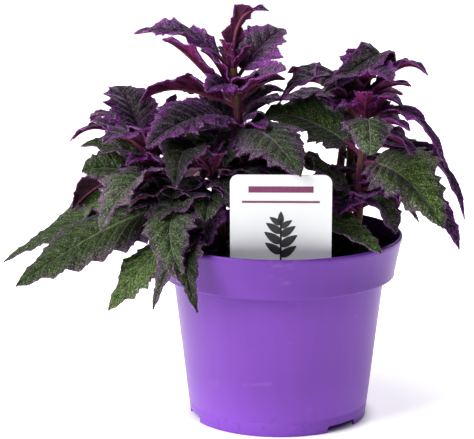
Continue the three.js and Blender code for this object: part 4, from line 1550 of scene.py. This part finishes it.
# %% Crumbs
CRUMBS = 480
CRUMB_SIZE, CRUMB_SQUASH = (0.5, 1.7), (0.6, 1.2)
CRUMB_DENT, CRUMB_WAVES = 0.45, 1.9
CRUMB_REACH, CRUMB_LIFT = 0.985, 0.25
CRUMB_TURN, CRUMB_CREASE = 6.3, 50

bpy.ops.mesh.primitive_ico_sphere_add(subdivisions=2, radius=1, location=(0, 0, 0))
crumb = bpy.context.object
corners = [v.co for v in crumb.data.vertices]
dents = [1 + CRUMB_DENT * noise.noise(corner * CRUMB_WAVES) for corner in corners]
crumb_corners = np.array([corner * dent for corner, dent in zip(corners, dents)])
crumb_faces = np.array([face.vertices[:] for face in crumb.data.polygons])
bpy.data.objects.remove(crumb)

heaps = []
for _ in range(CRUMBS):
    radius = SOIL_EDGE * CRUMB_REACH * RANDOM.uniform() ** 0.5
    angle = RANDOM.uniform(0, 2 * math.pi)
    x, y = radius * math.cos(angle), radius * math.sin(angle)
    size = CRUMB_SIZE[0] + (CRUMB_SIZE[1] - CRUMB_SIZE[0]) * RANDOM.uniform() ** 3
    squash = np.diag(RANDOM.uniform(*CRUMB_SQUASH, 3))
    axis_turn = Matrix.Rotation(RANDOM.uniform(0, CRUMB_TURN), 3, RANDOM.normal(0, 1, 3))
    lift = soil_height(x, y) + CRUMB_LIFT * size
    heaps.append(crumb_corners @ (np.array(axis_turn) @ squash).T * size + (x, y, lift))
crumb_mesh = bpy.data.meshes.new("crumbs")
first = np.arange(CRUMBS)[:, None, None] * len(crumb_corners)
crumb_mesh.from_pydata(np.vstack(heaps) * MM, [], (crumb_faces[None] + first).reshape(-1, 3))
select_only(soil, placed("crumbs", crumb_mesh))
bpy.ops.object.join()
bpy.ops.object.shade_smooth_by_angle(angle=math.radians(CRUMB_CREASE))
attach(soil, "root")
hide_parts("soil")
print("soil has", len(soil.data.polygons), "faces")

# %% [markdown]
# ## The soil's finish
# Moist peat is nearly black, with lighter fibres of bark. Where it is wet it shines a
# little. Three noises in one finish give the lumps, the fibres and the wet patches.

# %% Soil finish
def potting_soil():
    finish = Finish("potting_soil", specular_ior_level=0.25)
    lumps = finish.noise(260, detail=5)
    fibre = finish.noise(900, detail=4, stretch=(1, 0.3, 1)).step(0.58, 0.72)
    wet = finish.noise(60, detail=2)
    base = finish.mix(lumps.step(0.35, 0.7), (0.008, 0.005, 0.004), (0.034, 0.02, 0.013))
    base = finish.mix(0.5 * fibre, base, (0.11, 0.07, 0.04))
    finish.set(base_color=base, roughness=0.95 - 0.3 * wet)
    finish.bump(lumps + 0.5 * fibre, 0.8, 0.6 * MM)
    return finish


dress(soil, potting_soil())
print("finish ready:", soil.data.materials[0].name)

# %% [markdown]
# ## The label
# The label is a stiff white plastic card on a stake. Its form needs nothing finer than the
# plain model's, so that node stays and only gets a finish: off-white, bluish grey towards
# its foot as painted shade, and soiled where it goes into the soil.

# %% Label finish
def label_plastic():
    finish = Finish("label_plastic", specular_ior_level=0.4)
    high = finish.height()
    cloud = finish.noise(45, detail=3)
    grain = finish.noise(3000, detail=1)
    base = finish.mix(cloud, (0.68, 0.69, 0.7), (0.73, 0.74, 0.75))
    # painted shade: bluish grey towards the card's foot
    base = finish.mix(0.3 * (1 - high.step(0.082, 0.104)), base, (0.55, 0.57, 0.66))
    soiled = finish.noise(500, detail=3).step(0.5, 0.7) * (1 - high.step(0.079, 0.085))
    base = finish.mix(0.6 * soiled, base, (0.06, 0.045, 0.03))
    finish.set(base_color=base, roughness=0.42 + 0.1 * cloud)
    finish.bump(grain, 0.1, 0.05 * MM)
    return finish


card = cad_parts["label"]
dress(card, label_plastic())

# %% [markdown]
# ## Printed marks
# The marks on the label are generic: a broad and a narrow plum rule, and a dark sprig. They
# could be painted into the card's finish, but would then be as coarse as its picture. So
# they are made as ink is, thin and on top of the card: flat faces a twentieth of a
# millimetre proud, which keeps their edges crisp at any size of picture. They are drawn
# lying on the ground and then stood up on the leaning card together.

# %% Drawing marks
INK_PROUD = 0.05
CARD_HALF = 0.4
LABEL_SHOULDER = (1, -44, 84)
LABEL_LEAN = 6
LEAF_BULGE, LEAF_POINT = 1.35, 0.45


def ink_finish(name, colour, lighter):
    finish = Finish(name, roughness=0.5, specular_ior_level=0.3)
    finish.set(base_color=finish.mix(finish.noise(700, detail=2), colour, lighter))
    return finish


def on_card(made):
    """Stands a flat mark, drawn in x and y of the ground, up on the leaning card."""
    lean = Matrix.Rotation(math.radians(90 + LABEL_LEAN), 4, "X")
    place = Matrix.Translation(Vector(LABEL_SHOULDER) * MM)
    made.data.transform(place @ lean @ Matrix.Translation((0, 0, (CARD_HALF + INK_PROUD) * MM)))


def rule(x, y, width, height, ink):
    """A printed bar, with its middle at x across the card and y above the shoulder."""
    bpy.ops.mesh.primitive_plane_add(size=1, location=(x * MM, y * MM, 0))
    made = bpy.context.object
    made.scale = (width * MM, height * MM, 1)
    bpy.ops.object.transform_apply(location=True, rotation=False, scale=True)
    dress(made, ink)
    return made


def sprig_leaf(x, y, length, width, turn, ink):
    """A pointed leaf: a circle squeezed more and more towards its tip."""
    bpy.ops.mesh.primitive_circle_add(vertices=28, radius=1, fill_type="NGON", location=(0, 0, 0))
    made = bpy.context.object
    angle = math.radians(turn)
    for vertex in made.data.vertices:
        along = (vertex.co.x + 1) / 2
        across = vertex.co.y * (1 - along) ** LEAF_POINT * width / 2 * LEAF_BULGE
        reach = along * length
        vertex.co.x = (x + reach * math.cos(angle) - across * math.sin(angle)) * MM
        vertex.co.y = (y + reach * math.sin(angle) + across * math.cos(angle)) * MM
    dress(made, ink)
    return made


plum_ink = ink_finish("plum_ink", (0.16, 0.035, 0.1), (0.22, 0.06, 0.14))
dark_ink = ink_finish("dark_ink", (0.03, 0.03, 0.034), (0.055, 0.055, 0.06))
print("inks ready:", plum_ink.material.name, "and", dark_ink.material.name)

# %% Marks on the label
SPRIG_LEAVES = ((5, 9), (10, 9.5), (15, 8.5), (19, 6.5))
SPRIG_SLIM, SPRIG_STEP = 0.42, 1.5

marks = [
    rule(0, 37.5, 30, 3, plum_ink),
    rule(0, 31.5, 36, 1, plum_ink),
    rule(0, 12, 0.9, 22, dark_ink),
]
for height, length in SPRIG_LEAVES:
    for up, turn in ((0, 35), (SPRIG_STEP, 145)):
        marks.append(sprig_leaf(0, height + up, length, SPRIG_SLIM * length, turn, dark_ink))
marks.append(sprig_leaf(0, 21, 6, 2.8, 90, dark_ink))
select_only(*marks)
bpy.ops.object.join()
ink = bpy.context.object
ink.name = "label_ink"
on_card(ink)
ink.matrix_world = Matrix.Identity(4)
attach(ink, "root")
print("marks on the label:", len(marks))

# %% [markdown]
# ## The last step
# The finished pieces must not change the plant's size, so the dressed plant's box is
# measured and its size printed.

# %% Sizes and finish
dressed_low, dressed_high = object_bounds()
dressed = [round((h - l) / MM) for l, h in zip(dressed_low, dressed_high)]
print("dressed plant is", dressed, "mm in size")
